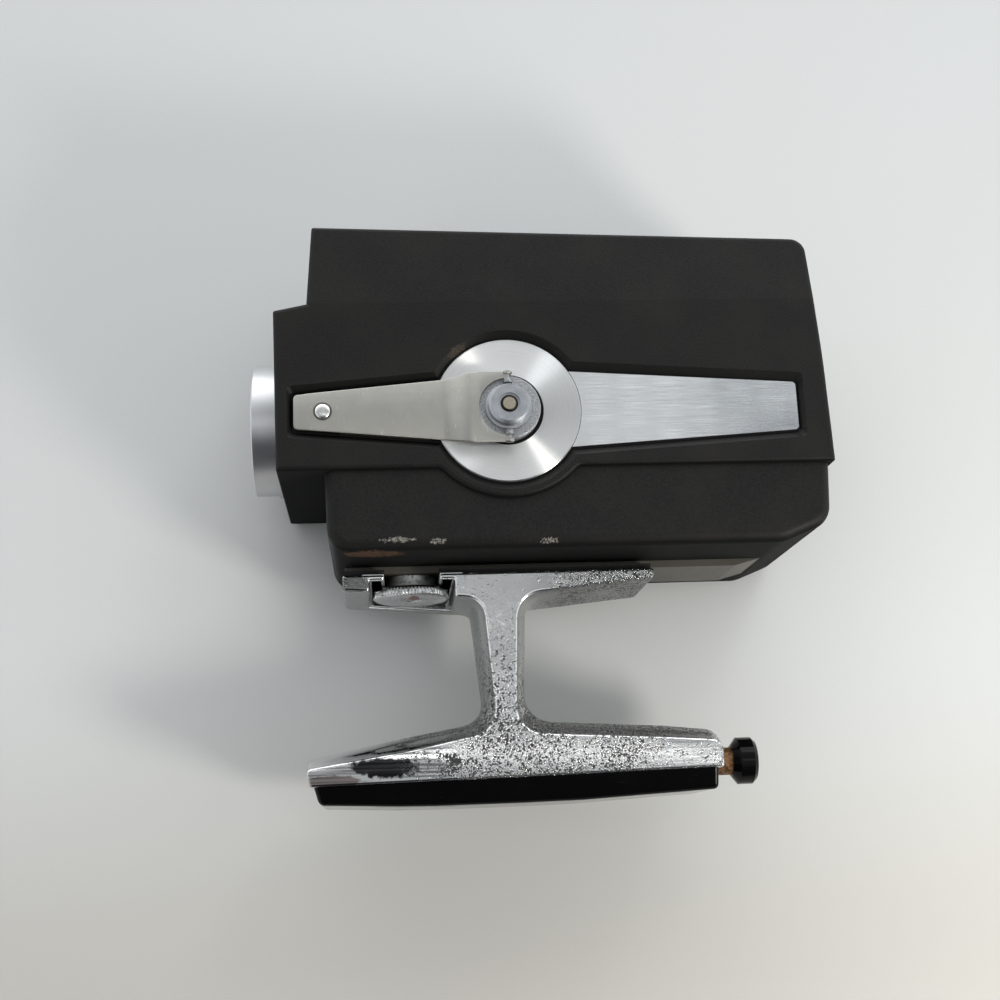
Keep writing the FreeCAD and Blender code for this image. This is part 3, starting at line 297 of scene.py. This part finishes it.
# Meter window of clear ribbed plastic over the selenium cell, and the glasses of lens and finder.
def clear(name, tint, rough):
    """See-through finish with a tint, faint smears and hairline scratches."""
    material, shader, place = new_finish(name)
    smear = place.noise(0.12, 5.0, 0.6)
    hairline = place.vector("MULTIPLY", (0.4, 6.0, 0.4)).noise(1.0, 4.0).between(0.66, 0.72)
    feed(shader, {"Base Color": smear.shade(tint, (0.92, 0.95, 0.97, 1)),
                  "Roughness": rough + 0.12 * smear + 0.2 * hairline}, IOR=1.5, Transmission_Weight=0.9)
    return material


dress(clear("coated glass", (0.62, 0.72, 0.86, 1), 0.0), "front_element", "rear_element", "finder_window",
      "eyepiece_lens")
dress(clear("clear ribbed plastic", (0.85, 0.87, 0.84, 1), 0.08), "meter_window")
selenium, shader, place = new_finish("selenium cell")
haze = place.noise(0.3, 4.0)
feed(shader, {"Base Color": haze.shade(tone(52, 44, 58), tone(82, 70, 84)), "Roughness": 0.3 + 0.3 * haze})
dress(selenium, "meter_cell")


# Focusing ring round the lens: turned aluminium, satin anodised, with the fine grooves of the tool.
def grooves(distance, scale):
    """Noise about 0.5 over one distance alone, with that many grooves in a millimetre."""
    return distance.node("TexNoise", {"noise_dimensions": "1D"},
                         {"W": distance, "Scale": scale, "Detail": 3.0})


def tipped(normal, tip):
    """That normal, tipped over by the vector tip."""
    return normal.vector("ADD", tip).vector("NORMALIZE")


anodised, shader, place = new_finish("satin anodised aluminium")
along = place.split()[0]
tip = along.node("CombineXYZ", {}, {0: (grooves(along, 5.0) - 0.5) * 0.25})
smudge = place.noise(0.1, 4.0)
feed(shader, {"Base Color": smudge.shade(tone(196, 197, 199), tone(222, 223, 225)),
              "Roughness": 0.3 + 0.12 * smudge, "Normal": tipped(face_normal(shader), tip)}, Metallic=1.0)
dress(anodised, "focus_ring")

# Eyepiece and plunger button: black moulded plastic, glossy, with fingermarks and hairlines.
gloss, shader, place = new_finish("glossy black plastic")
touch = place.noise(0.09, 5.0, 0.6)
hairline = place.vector("MULTIPLY", (0.25, 3.0, 3.0)).noise(1.0, 3.0).between(0.66, 0.74)
feed(shader, {"Base Color": hairline.shade(tone(8, 8, 8), tone(36, 36, 38)),
              "Roughness": 0.08 + 0.22 * touch.between(0.4, 0.8) + 0.25 * hairline,
              "Normal": place.noise(0.35).bump(0.04, 0.5)}, Specular_IOR_Level=0.15)
dress(gloss, "eyepiece", "plunger_button")

# Palm pad under the grip: the same plastic, moulded with a crown, so that its two flanks lean towards
# its lower edge all along and mirror what is dark there.
crowned, shader, place = new_finish("crowned black plastic")
touch = place.noise(0.09, 5.0, 0.6)
hairline = place.vector("MULTIPLY", (0.25, 3.0, 3.0)).noise(1.0, 3.0).between(0.68, 0.76)
facing = face_normal(shader).split()[2].between(0.5, 0.9)
lean = facing.node("CombineXYZ", {}, {1: facing * -0.30})
feed(shader, {"Base Color": (hairline * 0.5).shade(tone(8, 8, 9), tone(30, 30, 32)),
              "Roughness": 0.07 + 0.15 * touch.between(0.4, 0.8) + 0.2 * hairline,
              "Normal": tipped(face_normal(shader), lean)}, Specular_IOR_Level=0.15)
dress(crowned, "palm_pad")

# Rubber strip between the base plate and the grip, moulded with a fine grain.
rubber, shader, place = new_finish("moulded black rubber")
pore = place.noise(2.0, 3.0)
feed(shader, {"Base Color": pore.shade(tone(16, 16, 16), tone(38, 37, 36)), "Roughness": 0.7 + 0.25 * pore,
              "Normal": pore.bump(0.05, 0.6)})
dress(rubber, "rubber_pad")

# Bright disc under the crank: spun aluminium, polished on the lathe. Each of its fine rings draws the
# light out across itself, which gives bright fans from the middle to the rim.
def off_axis(place):
    """The part of a place that points away from the winding axis."""
    return place.vector("MULTIPLY", (1, 1, 0))


def turned_marks(place, normal, depth, scale):
    """Normal of a face turned on a lathe about the winding axis, tipped along the radius by the grooves
    of the tool, and the grooves."""
    radial = off_axis(place)
    groove = grooves(radial.length(), scale)
    return tipped(normal, radial.vector("NORMALIZE").scaled((groove - 0.5) * depth)), groove


spun_metal, shader, place = new_finish("spun aluminium")
normal, groove = turned_marks(place, face_normal(shader), 0.35, 9.0)
smudge = place.noise(0.12, 4.0)
feed(shader, {"Base Color": groove.between(0.3, 0.7).shade(tone(222, 223, 222), tone(245, 245, 244)),
              "Roughness": 0.31 + 0.10 * smudge, "Normal": normal}, Metallic=1.0, Anisotropic=1.0,
     Anisotropic_Rotation=0.25)
dress(spun_metal, "trim_disc")

# Wing-shaped plate behind the disc: sheet aluminium with a long brushed grain. It is paler towards the
# disc, and its near rear edge is streaked blue-black.
brushed, shader, place = new_finish("brushed aluminium plate")
x, y = place.split()[:2]
streak = place.vector("MULTIPLY", (0.03, 7.0, 0.0)).noise(1.0, 3.0, 0.6)
hair = place.vector("MULTIPLY", (0.1, 45.0, 0.0)).noise(1.0, 2.0)
tip = streak.node("CombineXYZ", {}, {1: (streak - 0.5) * 0.3 + (hair - 0.5) * 1.2})
colour = x.between(44, 66).shade(tone(212, 214, 214), tone(182, 185, 188))
stained = x.between(58, 80) * y.between(2.0, -6.5) * streak.between(0.42, 0.6)
colour = (stained * 0.7).shade(colour, tone(62, 70, 82))
feed(shader, {"Base Color": (streak.between(0.3, 0.7) * 0.25).shade(colour, tone(236, 237, 238)),
              "Roughness": 0.26 + 0.14 * place.noise(0.1, 4.0),
              "Normal": tipped(face_normal(shader), tip)}, Metallic=1.0)
dress(brushed, "side_plate")

# Hub flange that carries the crank's lugs: a grey zinc casting, left rough between the turned faces.
zinc, shader, place = new_finish("grey zinc casting")
sand = place.noise(2.2, 4.0, 0.65)
feed(shader, {"Base Color": sand.between(0.3, 0.7).shade(tone(126, 128, 130), tone(186, 188, 190)),
              "Roughness": 0.38 + 0.3 * sand, "Normal": sand.bump(0.09, 0.7)}, Metallic=0.9)
dress(zinc, "crank_hub")

# Winding knob: the same zinc, turned all over and dulled by the thumb. The gap between its bore and the
# pin in it is painted dark, as painted shade.
dull, shader, place = new_finish("dulled turned zinc")
normal = turned_marks(place, face_normal(shader), 0.16, 5.0)[0]
mark = place.noise(0.5, 4.0)
colour = mark.shade(tone(148, 151, 156), tone(186, 189, 194))
beyond_gap_shade = off_axis(place).length().between(2.3, 2.55)
feed(shader, {"Base Color": beyond_gap_shade.shade(tone(30, 29, 27), colour),
              "Roughness": 0.3 + 0.2 * mark, "Normal": normal}, Metallic=0.9)
dress(dull, "winding_knob")


# Folding crank of bent sheet, nickelled and satin. The flat arm steps up onto the flange and forks
# round the knob; its two sides are turned down, and an ear at the end of each prong takes the pin.
def over(stations, corners):
    """Outlines (station, corner, 3) from corners whose x, y and radius are each a number or an array over
    the stations."""
    rows = [np.broadcast_to(value, len(stations)) for corner in corners for value in corner]
    return np.stack(rows, axis=1).reshape(len(stations), -1, 3)


def filleted(corners, steps=7):
    """Outlines with rounded corners. Each arc runs from one tangent point to the other round its centre,
    which lies on the line that halves the corner, at radius / sin(half angle)."""
    point, radius = corners[..., :2], corners[..., 2:]
    back, ahead = np.roll(point, 1, axis=1) - point, np.roll(point, -1, axis=1) - point
    back = back / np.linalg.norm(back, axis=-1, keepdims=True)
    ahead = ahead / np.linalg.norm(ahead, axis=-1, keepdims=True)
    middle = back + ahead
    middle = middle / np.linalg.norm(middle, axis=-1, keepdims=True)
    half = np.arccos(np.sum(back * middle, axis=-1, keepdims=True))
    centre = middle * radius / np.sin(half)
    start, end = back * radius / np.tan(half) - centre, ahead * radius / np.tan(half) - centre
    sweep = (math.pi - 2 * half)[..., None, :]
    share = np.linspace(0, 1, steps)[:, None]
    arc = np.sin((1 - share) * sweep) * start[..., None, :] + np.sin(share * sweep) * end[..., None, :]
    arc = (point + centre)[..., None, :] + arc / np.sin(sweep)
    return arc.reshape(len(corners), -1, 2)


def raised(outlines, heights):
    """Rings (station, point, 3): each outline in its plane, at its height."""
    level = np.broadcast_to(np.reshape(heights, (-1, 1, 1)), (*outlines.shape[:2], 1))
    return np.concatenate([outlines, level], axis=-1)


def solid(name, material, *stacks):
    """Closed mesh object from stacks of rings in mm from the hub: quads join the rings of a stack, and one
    face closes each of its ends."""
    faces, first = [], 0
    for rings in stacks:
        index = first + np.arange(rings.shape[0] * rings.shape[1]).reshape(rings.shape[:2])
        ahead = np.roll(index, -1, axis=1)
        quads = np.stack([index[:-1], ahead[:-1], ahead[1:], index[1:]], axis=-1).reshape(-1, 4)
        faces += [*quads.tolist(), index[0, ::-1].tolist(), index[-1].tolist()]
        first += index.size
    points = np.concatenate([rings.reshape(-1, 3) for rings in stacks]) * MM + np.array(hub)
    mesh = bpy.data.meshes.new(name)
    mesh.from_pydata(points, [], faces)
    shell = bmesh.new()
    shell.from_mesh(mesh)
    bmesh.ops.recalc_face_normals(shell, faces=shell.faces)
    shell.to_mesh(mesh)
    shell.free()
    mesh.shade_smooth()
    mesh.set_sharp_from_angle(angle=math.radians(40))
    mesh.materials.append(material)
    made = bpy.data.objects.new(name, mesh)
    bpy.context.scene.collection.objects.link(made)
    return made


def smooth(value, low, high):
    """0 below low, 1 above high, and smooth between."""
    share = np.clip((value - low) / (high - low), 0, 1)
    return share * share * (3 - 2 * share)


def strip(stations, low, high, bottom, top, edge):
    """Rings of a bar along x: a rectangle in y and z with rounded edges at each station."""
    outlines = over(stations, [(low, bottom, edge), (high, bottom, edge),
                               (high, top, edge), (low, top, edge)])
    return raised(filleted(outlines, 4), stations)[..., [2, 0, 1]]


def spun(rows, around, ridges=0):
    """Rings about an axis from rows of radius, height and depth of the notches between the ridges: at each
    angle the radius less the depth x (1 - cosine of the angle x the number of ridges) / 2."""
    radius, height, notch = np.array(rows, dtype=float).T[..., None]
    angle = np.linspace(0, 2 * math.pi, around, endpoint=False)
    reach = radius - notch * (0.5 - 0.5 * np.cos(ridges * angle))
    return np.stack([reach * np.cos(angle), reach * np.sin(angle), height + 0 * angle], axis=-1)


sheet, tip_x, tip_half, root_x, root_half, fork_half = 0.9, -58.7, 4.9, -18.0, 8.6, 10.0
fork_middle, fork_hole, pin_height, ear_radius, ear_sheet = 1.95, 8.1, 1.95, 1.3, 0.7
side_low, side_high, rivet_x = -1.7, -0.3, -50.8

nickel, shader, place = new_finish("satin nickel")
x = place.split()[0]
grain = place.vector("MULTIPLY", (0.05, 3.5, 0.05)).noise(1.0, 4.0, 0.6)
smudge = place.noise(0.16, 4.0, 0.6)
hairline = place.vector("MULTIPLY", (1.4, 0.25, 0.25)).noise(1.0, 4.0).between(0.64, 0.70)
scuff = place.noise(0.9, 5.0, 0.7).between(0.62, 0.70) * x.between(-30, -14)
colour = smudge.shade(tone(168, 166, 160), tone(184, 182, 176))
colour = ((hairline + scuff) * 0.3).shade(colour, tone(226, 225, 222))
# Painted shade: a dark ring is painted on the arm round the rivet's head, where the gap lies.
rivet_gap = off_axis(place.vector("SUBTRACT", (rivet_x, 0, 0))).length()
colour = (rivet_gap.between(2.75, 2.35) * 0.8).shade(colour, tone(40, 38, 34))
burr = face_normal(shader).split()[1].between(-0.25, -0.6)
tip = grain.node("CombineXYZ", {}, {0: burr * 0.3, 1: (grain - 0.5) * 0.14})
feed(shader, {"Base Color": colour, "Roughness": 0.34 + 0.1 * smudge - 0.08 * hairline,
              "Normal": tipped(face_normal(shader), tip)}, Metallic=1.0)


def arm_half(x):
    """Half width of the arm: straight sides to the root, wider over the fork, and a rounded tip."""
    straight = tip_half + (root_half - tip_half) * (np.minimum(x, root_x) - tip_x) / (root_x - tip_x)
    wider = (fork_half - root_half) * smooth(x, root_x - 1.0, -8.6)
    from_tip = np.clip(x - tip_x, 0, 1)
    return straight + wider - 1 + np.sqrt(from_tip * (2 - from_tip))


def arm_middle(x):
    """Height of the middle of the sheet: a low step near the tip, and a high one between its two bends."""
    return -sheet / 2 - 0.3 * smooth(-x, 54.6, 56.6) + (fork_middle + sheet / 2) * smooth(x, -18.2, -10.0)


def band(x, inner, side, bottom, top, edge):
    """Bar along x on one side (-1 or 1) of the arm, from the width inner out to the arm's own edge."""
    one, other = side * inner, side * arm_half(x)
    return strip(x, np.minimum(one, other), np.maximum(one, other), bottom, top, edge)


x = np.concatenate([tip_x + 1 - np.cos(np.linspace(0, math.pi / 2, 7)), np.linspace(-57, -19, 20),
                    np.linspace(-18.4, -9.6, 27), [-fork_hole + 0.01]])
flat = strip(x, -arm_half(x), arm_half(x), arm_middle(x) - sheet / 2, arm_middle(x) + sheet / 2, 0.32)
turning = np.linspace(0, math.pi / 2, 20)
x, inner = -fork_hole * np.cos(turning), fork_hole * np.sin(turning)
prongs = [band(x, inner, side, arm_middle(x) - sheet / 2, arm_middle(x) + sheet / 2, 0.12)
          for side in (-1, 1)]
ear = spun([(ear_radius - 0.15, 0, 0), (ear_radius, 0.15, 0), (ear_radius, ear_sheet - 0.15, 0),
            (ear_radius - 0.15, ear_sheet, 0)], 32)[..., [0, 2, 1]]
ears = [ear * (1, side, 1) + (0, side * (fork_half - ear_sheet), pin_height) for side in (-1, 1)]
x = np.linspace(-46, -21.5, 12)
sides = [band(x, arm_half(x) - sheet, side, side_low, side_high, 0.1) for side in (-1, 1)]
arm = solid("folding_crank", nickel, flat, *prongs, *ears, *sides)
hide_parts("crank_arm")
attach(arm, "crank")
dress(nickel, "crank_peg")

# Pin on which the peg spins: turned steel, riveted over on the arm. Its domed head is worn bright.
profile = [(1.1, -13.3, 0), (1.2, -13.2, 0), (1.2, -0.1, 0), (1.9, -0.1, 0), (2.1, 0.06, 0), (2.1, 0.2, 0),
           (1.95, 0.38, 0), (1.5, 0.56, 0), (0.9, 0.66, 0), (0.3, 0.7, 0)]
polish, shader, place = new_finish("polished rivet")
smudge = place.noise(0.8, 4.0)
feed(shader, {"Base Color": smudge.shade(tone(214, 214, 212), tone(236, 236, 235)),
              "Roughness": 0.16 + 0.2 * smudge, "Normal": place.noise(2.5).bump(0.02, 0.6)}, Metallic=1.0)
rivet = solid("riveted_peg_pin", polish, spun(profile, 48) + (rivet_x, 0, 0))
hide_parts("crank_rivet")
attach(rivet, "crank")

# Stem of the grip's plunger: brass, browned by air and hands.
browned, shader, place = new_finish("browned brass")
tarnish = place.noise(0.9, 5.0, 0.65)
colour = tarnish.between(0.35, 0.65).shade(tone(74, 50, 29), tone(134, 98, 62))
feed(shader, {"Base Color": colour, "Roughness": 0.35 + 0.35 * tarnish, "Normal": tarnish.bump(0.08, 0.6),
              "Metallic": tarnish.between(0.7, 0.4) * 0.8})
dress(browned, "plunger_stem")

# Pin in the middle of the knob: the same brass, worn pale on its face, with painted shade round its edge
# where the gap to the knob's bore lies.
worn_pin, shader, place = new_finish("worn knob pin")
edge_gap_shade = off_axis(place).length().between(1.55, 1.9)
speck = place.noise(1.6, 4.0)
colour = speck.shade(tone(128, 122, 108), tone(176, 168, 150))
feed(shader, {"Base Color": edge_gap_shade.shade(colour, tone(38, 34, 28)),
              "Roughness": 0.4 + 0.2 * speck, "Normal": speck.bump(0.05, 0.5)}, Metallic=0.6)
dress(worn_pin, "knob_pin")


# Hand grip: one chromed die casting. A bar with a slot for the thumbwheel lies under the camera, and a
# stem joins it to the bar for the palm. The chrome is a mirror at the front end of the lower bar, and
# pitted by corrosion elsewhere, most of all low on the stem.
def pit_spots(place, reach, cells):
    """1 in spots round the middles of a Voronoi pattern with that many cells in a millimetre."""
    away = place.node("TexVoronoi", {}, {"Vector": place, "Scale": cells})
    return (reach - away).between(-0.05, 0.03)


chrome, shader, place = new_finish("pitted chrome")
x, y = place.split()[:2]
facing = face_normal(shader).split()[2]
front, wall = facing.between(0.6, 0.85), facing.between(0.8, 0.3)
coarse, fine, blotch = place.noise(0.6, 3.0, 0.6), place.noise(3.0, 2.0), place.noise(0.09, 4.0)
swirl = place.node("TexNoise", {}, {"Vector": place, "Scale": 1.8}, out=1)
wobbly = swirl.vector("MULTIPLY_ADD", (0.7, 0.7, 0.7), place)
polished = y.between(-86, -91) * either(x.between(-12, -24), 0.3 * x.between(30, 46))
dense = either(y.between(-56, -78), x.between(6, 20))
cluster = blot(place, (-24, -95.0, -18), (9, 4, 9), 1.0)
limit = (0.09 + 0.17 * dense + 0.55 * (coarse - 0.5) + 0.3 * (blotch - 0.5)
         - 0.3 * polished + 0.3 * cluster)
pits = either(pit_spots(wobbly, 1.5 * limit, 1.5), pit_spots(wobbly, 1.2 * limit, 2.4))
# Painted reflection: a dark patch on the mirror front of the lower bar, for something dark that it mirrors.
dark = blot(place, (-35.8, -95.4, -18), (9.0, 2.7, 9), 1.1) * front
colour = blotch.shade(tone(222, 223, 223), tone(240, 240, 239))
colour = (pits * 0.95).shade(colour, tone(24, 23, 21))
# Painted reflection: the walls, which mirror the dark housing above them, are painted darker grey where
# they are not polished.
colour = (wall * 0.5 * (1 - polished)).shade(colour, tone(92, 92, 90))
colour = (dark * 0.98).shade(colour, tone(20, 18, 18))
# Painted reflection: a pinkish brown patch on the mirror end of the lower bar.
brown = blot(place, (-49.5, -98.6, -18), (7.5, 1.6, 9), 0.8)
colour = (brown * 0.7).shade(colour, tone(112, 84, 78))
# Dark polishing streaks on the mirror part, spread wide enough to darken it as a whole: partly real
# streaks, partly painted darker reflection.
streak = place.vector("MULTIPLY", (0.04, 1.3, 0.1)).noise(1.0, 3.0).between(0.42, 0.62)
colour = (streak * polished * front * 0.7).shade(colour, tone(84, 84, 86))
# Painted shade: the front of the upper bar's front block, and the bar above the stem, are painted darker,
# for their dimmer reflections.
front_block = blot(place, (-43.5, -44.8, -18.0), (4.5, 2.6, 2.0), 0.5)
above_stem = x.between(2, 16) * y.between(-56, -51)
colour = (either(front_block, above_stem * 0.5) * 0.75).shade(colour, tone(60, 59, 57))

# The lower bar's faces are crowned about its middle line, which bends where the stem meets it.
along = x + 5
middle = 0.02 * along.math("MINIMUM", along, 0.0) - 0.036 * along.math("MAXIMUM", along, 0.0) - 92.3
crown = y.math("MINIMUM", (y - middle) * 0.028, 0.16) * front * y.between(-56, -72)
lean = crown.node("CombineXYZ", {}, {1: crown})
matt = 1 - polished
relief = place.noise(0.22, 3.0) * 0.1 - pits * 0.05 + fine * (0.05 * front * dense + 0.012) * matt
feed(shader, {"Base Color": colour, "Metallic": 1 - 0.4 * pits,
              "Roughness": 0.09 + 0.05 * dense * matt + 0.35 * pits + 0.22 * wall * matt,
              "Normal": tipped(relief.bump(1.0, 1.0), lean)})

grip_half, grip_middle, rim = 16.5, -34.5, 0.8


def rounded_ends(outlines, heights):
    """Rings of a thick plate. At both ends its outline draws in along a quarter circle of the rim's
    radius, and by a last step on the flat, which keeps the shading of the big end face level."""
    nearby = np.roll(outlines, -1, axis=1)
    along = nearby - np.roll(outlines, 1, axis=1)
    inward = np.stack([-along[..., 1], along[..., 0]], axis=-1)
    inward = inward / np.linalg.norm(along, axis=-1, keepdims=True)
    area = np.sum(outlines[..., 0] * nearby[..., 1] - outlines[..., 1] * nearby[..., 0], axis=1)
    inward = inward * np.sign(area)[:, None, None]
    turned = np.linspace(0, math.pi / 2, 6)[1:, None, None]
    last_step = 0.04
    draw = np.append(rim * (1 - np.cos(turned)), [[[rim + last_step]]], axis=0)
    rise = np.append(rim * np.sin(turned), [[[rim]]], axis=0)
    below = raised(outlines[0] + inward[0] * draw, heights[0] - rise)[::-1]
    above = raised(outlines[-1] + inward[-1] * draw, heights[-1] + rise)
    return np.concatenate([below, raised(outlines, heights), above])


# The corners of the outlines have a radius a little over the rim's, so that the rim can draw in. The
# stem and the palm's bar are thickest in the middle of the grip and thin out to both of its faces.
corner, bar_top, slot_top = 0.85, -42.1, -43.9
bar_front, bar_rear, slot_front, slot_rear = -46.6, 41.2, -39.1, -15.3
lip_front, lip_rear, palm_front, palm_rear = -34.9, -19.5, -57.3, 57.5
heights = np.linspace(-1, 1, 17) * (grip_half - rim)
thin = 0.06 + 0.94 * np.abs(heights / (grip_half - rim)) ** 4
body = over(heights, [(lip_rear, bar_top, corner), (lip_rear, slot_top, corner), (slot_rear, slot_top, 0.6),
                      (slot_rear, -49.0, corner), (-10.6 + 3.0 * thin, -49.4, 3.4 + 2.4 * thin),
                      (-7.2 + 2.4 * thin, -82.6 - 3.4 * thin, 7.5), (-28.6, -86.2 - 4.6 * thin, 20.0),
                      (palm_front, -91.7 - 3.4 * thin, 1.5), (-56.1, -100.1, corner),
                      (palm_rear, -98.3, corner), (palm_rear, -87.1 - 3.4 * thin, 3.5),
                      (43.0, -85.4 - 4.0 * thin, 12.0), (3.7 - 3.2 * thin, -82.8 - 4.0 * thin, 7.5),
                      (5.4 - 3.2 * thin, -48.9, 6.0 + 1.5 * thin), (bar_rear, -45.0, 1.2),
                      (bar_rear, bar_top, corner)])
front_end = over(heights, [(bar_front, bar_top, corner), (bar_front, -46.4, 1.2), (slot_front, -47.0, 0.9),
                           (slot_front, slot_top, 0.6), (lip_front, slot_top, corner),
                           (lip_front, bar_top, corner)])

# A thin wall closes the slot at the back, past the wheel's reach, and a bridge with a round notch for
# the wheel's collar closes it at the top. Both run a little way into the two ends.
wheel_reach, wall_front, wall_rear = 11.9, -41.0, -13.5
wall_heights = np.array([-grip_half + rim, -wheel_reach - rim])
back_wall = over(wall_heights, [(wall_front, bar_top - 0.1, corner), (wall_front, -46.85, corner),
                                (wall_rear, -49.15, corner), (wall_rear, bar_top - 0.1, corner)])
notch_x, notch_half, bridge_rear = -27.2, 7.7, -13.0
near, deep, notch_round = -18.2 - grip_middle, -notch_half, notch_half - 0.02
bridge = over([0, 1], [(wall_front, -near, 0.1), (wall_front, near, 0.1),
                       (notch_x - notch_half, near, 0.3), (notch_x - notch_half, deep, notch_round),
                       (notch_x + notch_half, deep, notch_round), (notch_x + notch_half, near, 0.3),
                       (bridge_rear, near, 0.1), (bridge_rear, -near, 0.1)])
bridge = raised(filleted(bridge, 14), [slot_top, bar_top - 0.05])[..., [0, 2, 1]]
stacks = [rounded_ends(filleted(body), heights), rounded_ends(filleted(front_end), heights), bridge,
          rounded_ends(filleted(back_wall), wall_heights)]
grip = solid("chromed_grip", chrome, *[stack + (0, 0, grip_middle) for stack in stacks])
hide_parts("grip_casting")
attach(grip, "camera")

# Thumbwheel of the tripod screw in the slot of the grip: turned steel, chromed, with fine ridges
# round its rim and a smooth collar in the notch. A little rust stands on its lower face.
wheel_metal, shader, place = new_finish("chromed wheel")
y = place.split()[1]
coarse, fine = place.noise(1.3, 4.0), place.noise(0.4, 4.0)
rusty = blot(place, (-26.6, -47.2, -31.0), (1.7, 1.5, 5.5), 0.8)
colour = fine.shade(tone(206, 207, 208), tone(236, 236, 236))
colour = (coarse.between(0.44, 0.36) * 0.6).shade(colour, tone(56, 52, 48))
colour = (rusty * 0.85).shade(colour, tone(96, 44, 26))
collar_side = y.between(-44.4, -43.8)
feed(shader, {"Base Color": colour, "Roughness": 0.1 + 0.2 * fine + 0.4 * rusty + 0.25 * collar_side,
              "Normal": coarse.bump(0.06, 0.6), "Metallic": 1 - 0.7 * rusty})
low, high, collar_top, thread_top = -47.2, -44.2, -40.6, -36.6
wheel, collar, thread, depth, ridges = 11.0, 7.2, 3.1, 0.45, 66
rows = [(2.6, low + 0.5, 0), (3.0, low + 0.1, 0), (3.4, low, 0), (9.2, low, 0), (9.9, low + 0.08, 0),
        (wheel - 0.55, low + 0.3, 0), (wheel - 0.18, low + 0.55, depth / 2), (wheel, low + 0.8, depth),
        (wheel, high - 0.7, depth), (wheel - 0.2, high - 0.35, depth / 2), (wheel - 0.6, high - 0.05, 0),
        (collar + 0.4, high, 0), (collar + 0.05, high + 0.15, 0), (collar, high + 0.4, 0),
        (collar, collar_top - 0.3, 0), (collar - 0.3, collar_top, 0), (thread, collar_top, 0),
        (thread, thread_top - 0.4, 0), (thread - 0.5, thread_top, 0)]
screw = spun(rows, ridges * 8, ridges)[..., [0, 2, 1]] + (notch_x, 0, grip_middle)
screw = solid("thumbwheel", wheel_metal, screw)
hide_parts("grip_screw")
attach(screw, "screw")
dress(wheel_metal, "start_button")

# Clockwork behind the covers and the other hidden pieces: turned brass and ground steel, lightly oiled.
brass, shader, place = new_finish("turned brass")
normal = turned_marks(place, face_normal(shader), 0.2, 4.0)[0]
oil = place.noise(0.2, 4.0)
feed(shader, {"Base Color": oil.shade(tone(176, 146, 84), tone(212, 184, 120)),
              "Roughness": 0.2 + 0.25 * oil, "Normal": normal}, Metallic=1.0)
dress(brass, "spring_barrel", "barrel_lid", "centre_wheel", "governor_weights", "takeup_gear",
      "shutter_bearing", "tripod_bush")
steel, shader, place = new_finish("ground steel")
oil = place.noise(0.2, 4.0)
grain = place.vector("MULTIPLY", (0.4, 4.0, 4.0)).noise(1.0, 3.0)
feed(shader, {"Base Color": oil.shade(tone(150, 150, 152), tone(196, 196, 198)),
              "Roughness": 0.22 + 0.25 * oil, "Normal": grain.bump(0.02, 0.5)}, Metallic=1.0)
dress(steel, "winding_arbor", "ratchet_wheel", "click", "click_pin", "click_spring", "mainspring",
      "fold_pins", "governor_staff", "bridge_plate", "bridge_pillars", "bridge_screws", "cover_screws",
      "shutter_shaft", "takeup_spindle", "pressure_plate", "film_claw", "door_pin", "door_catch")
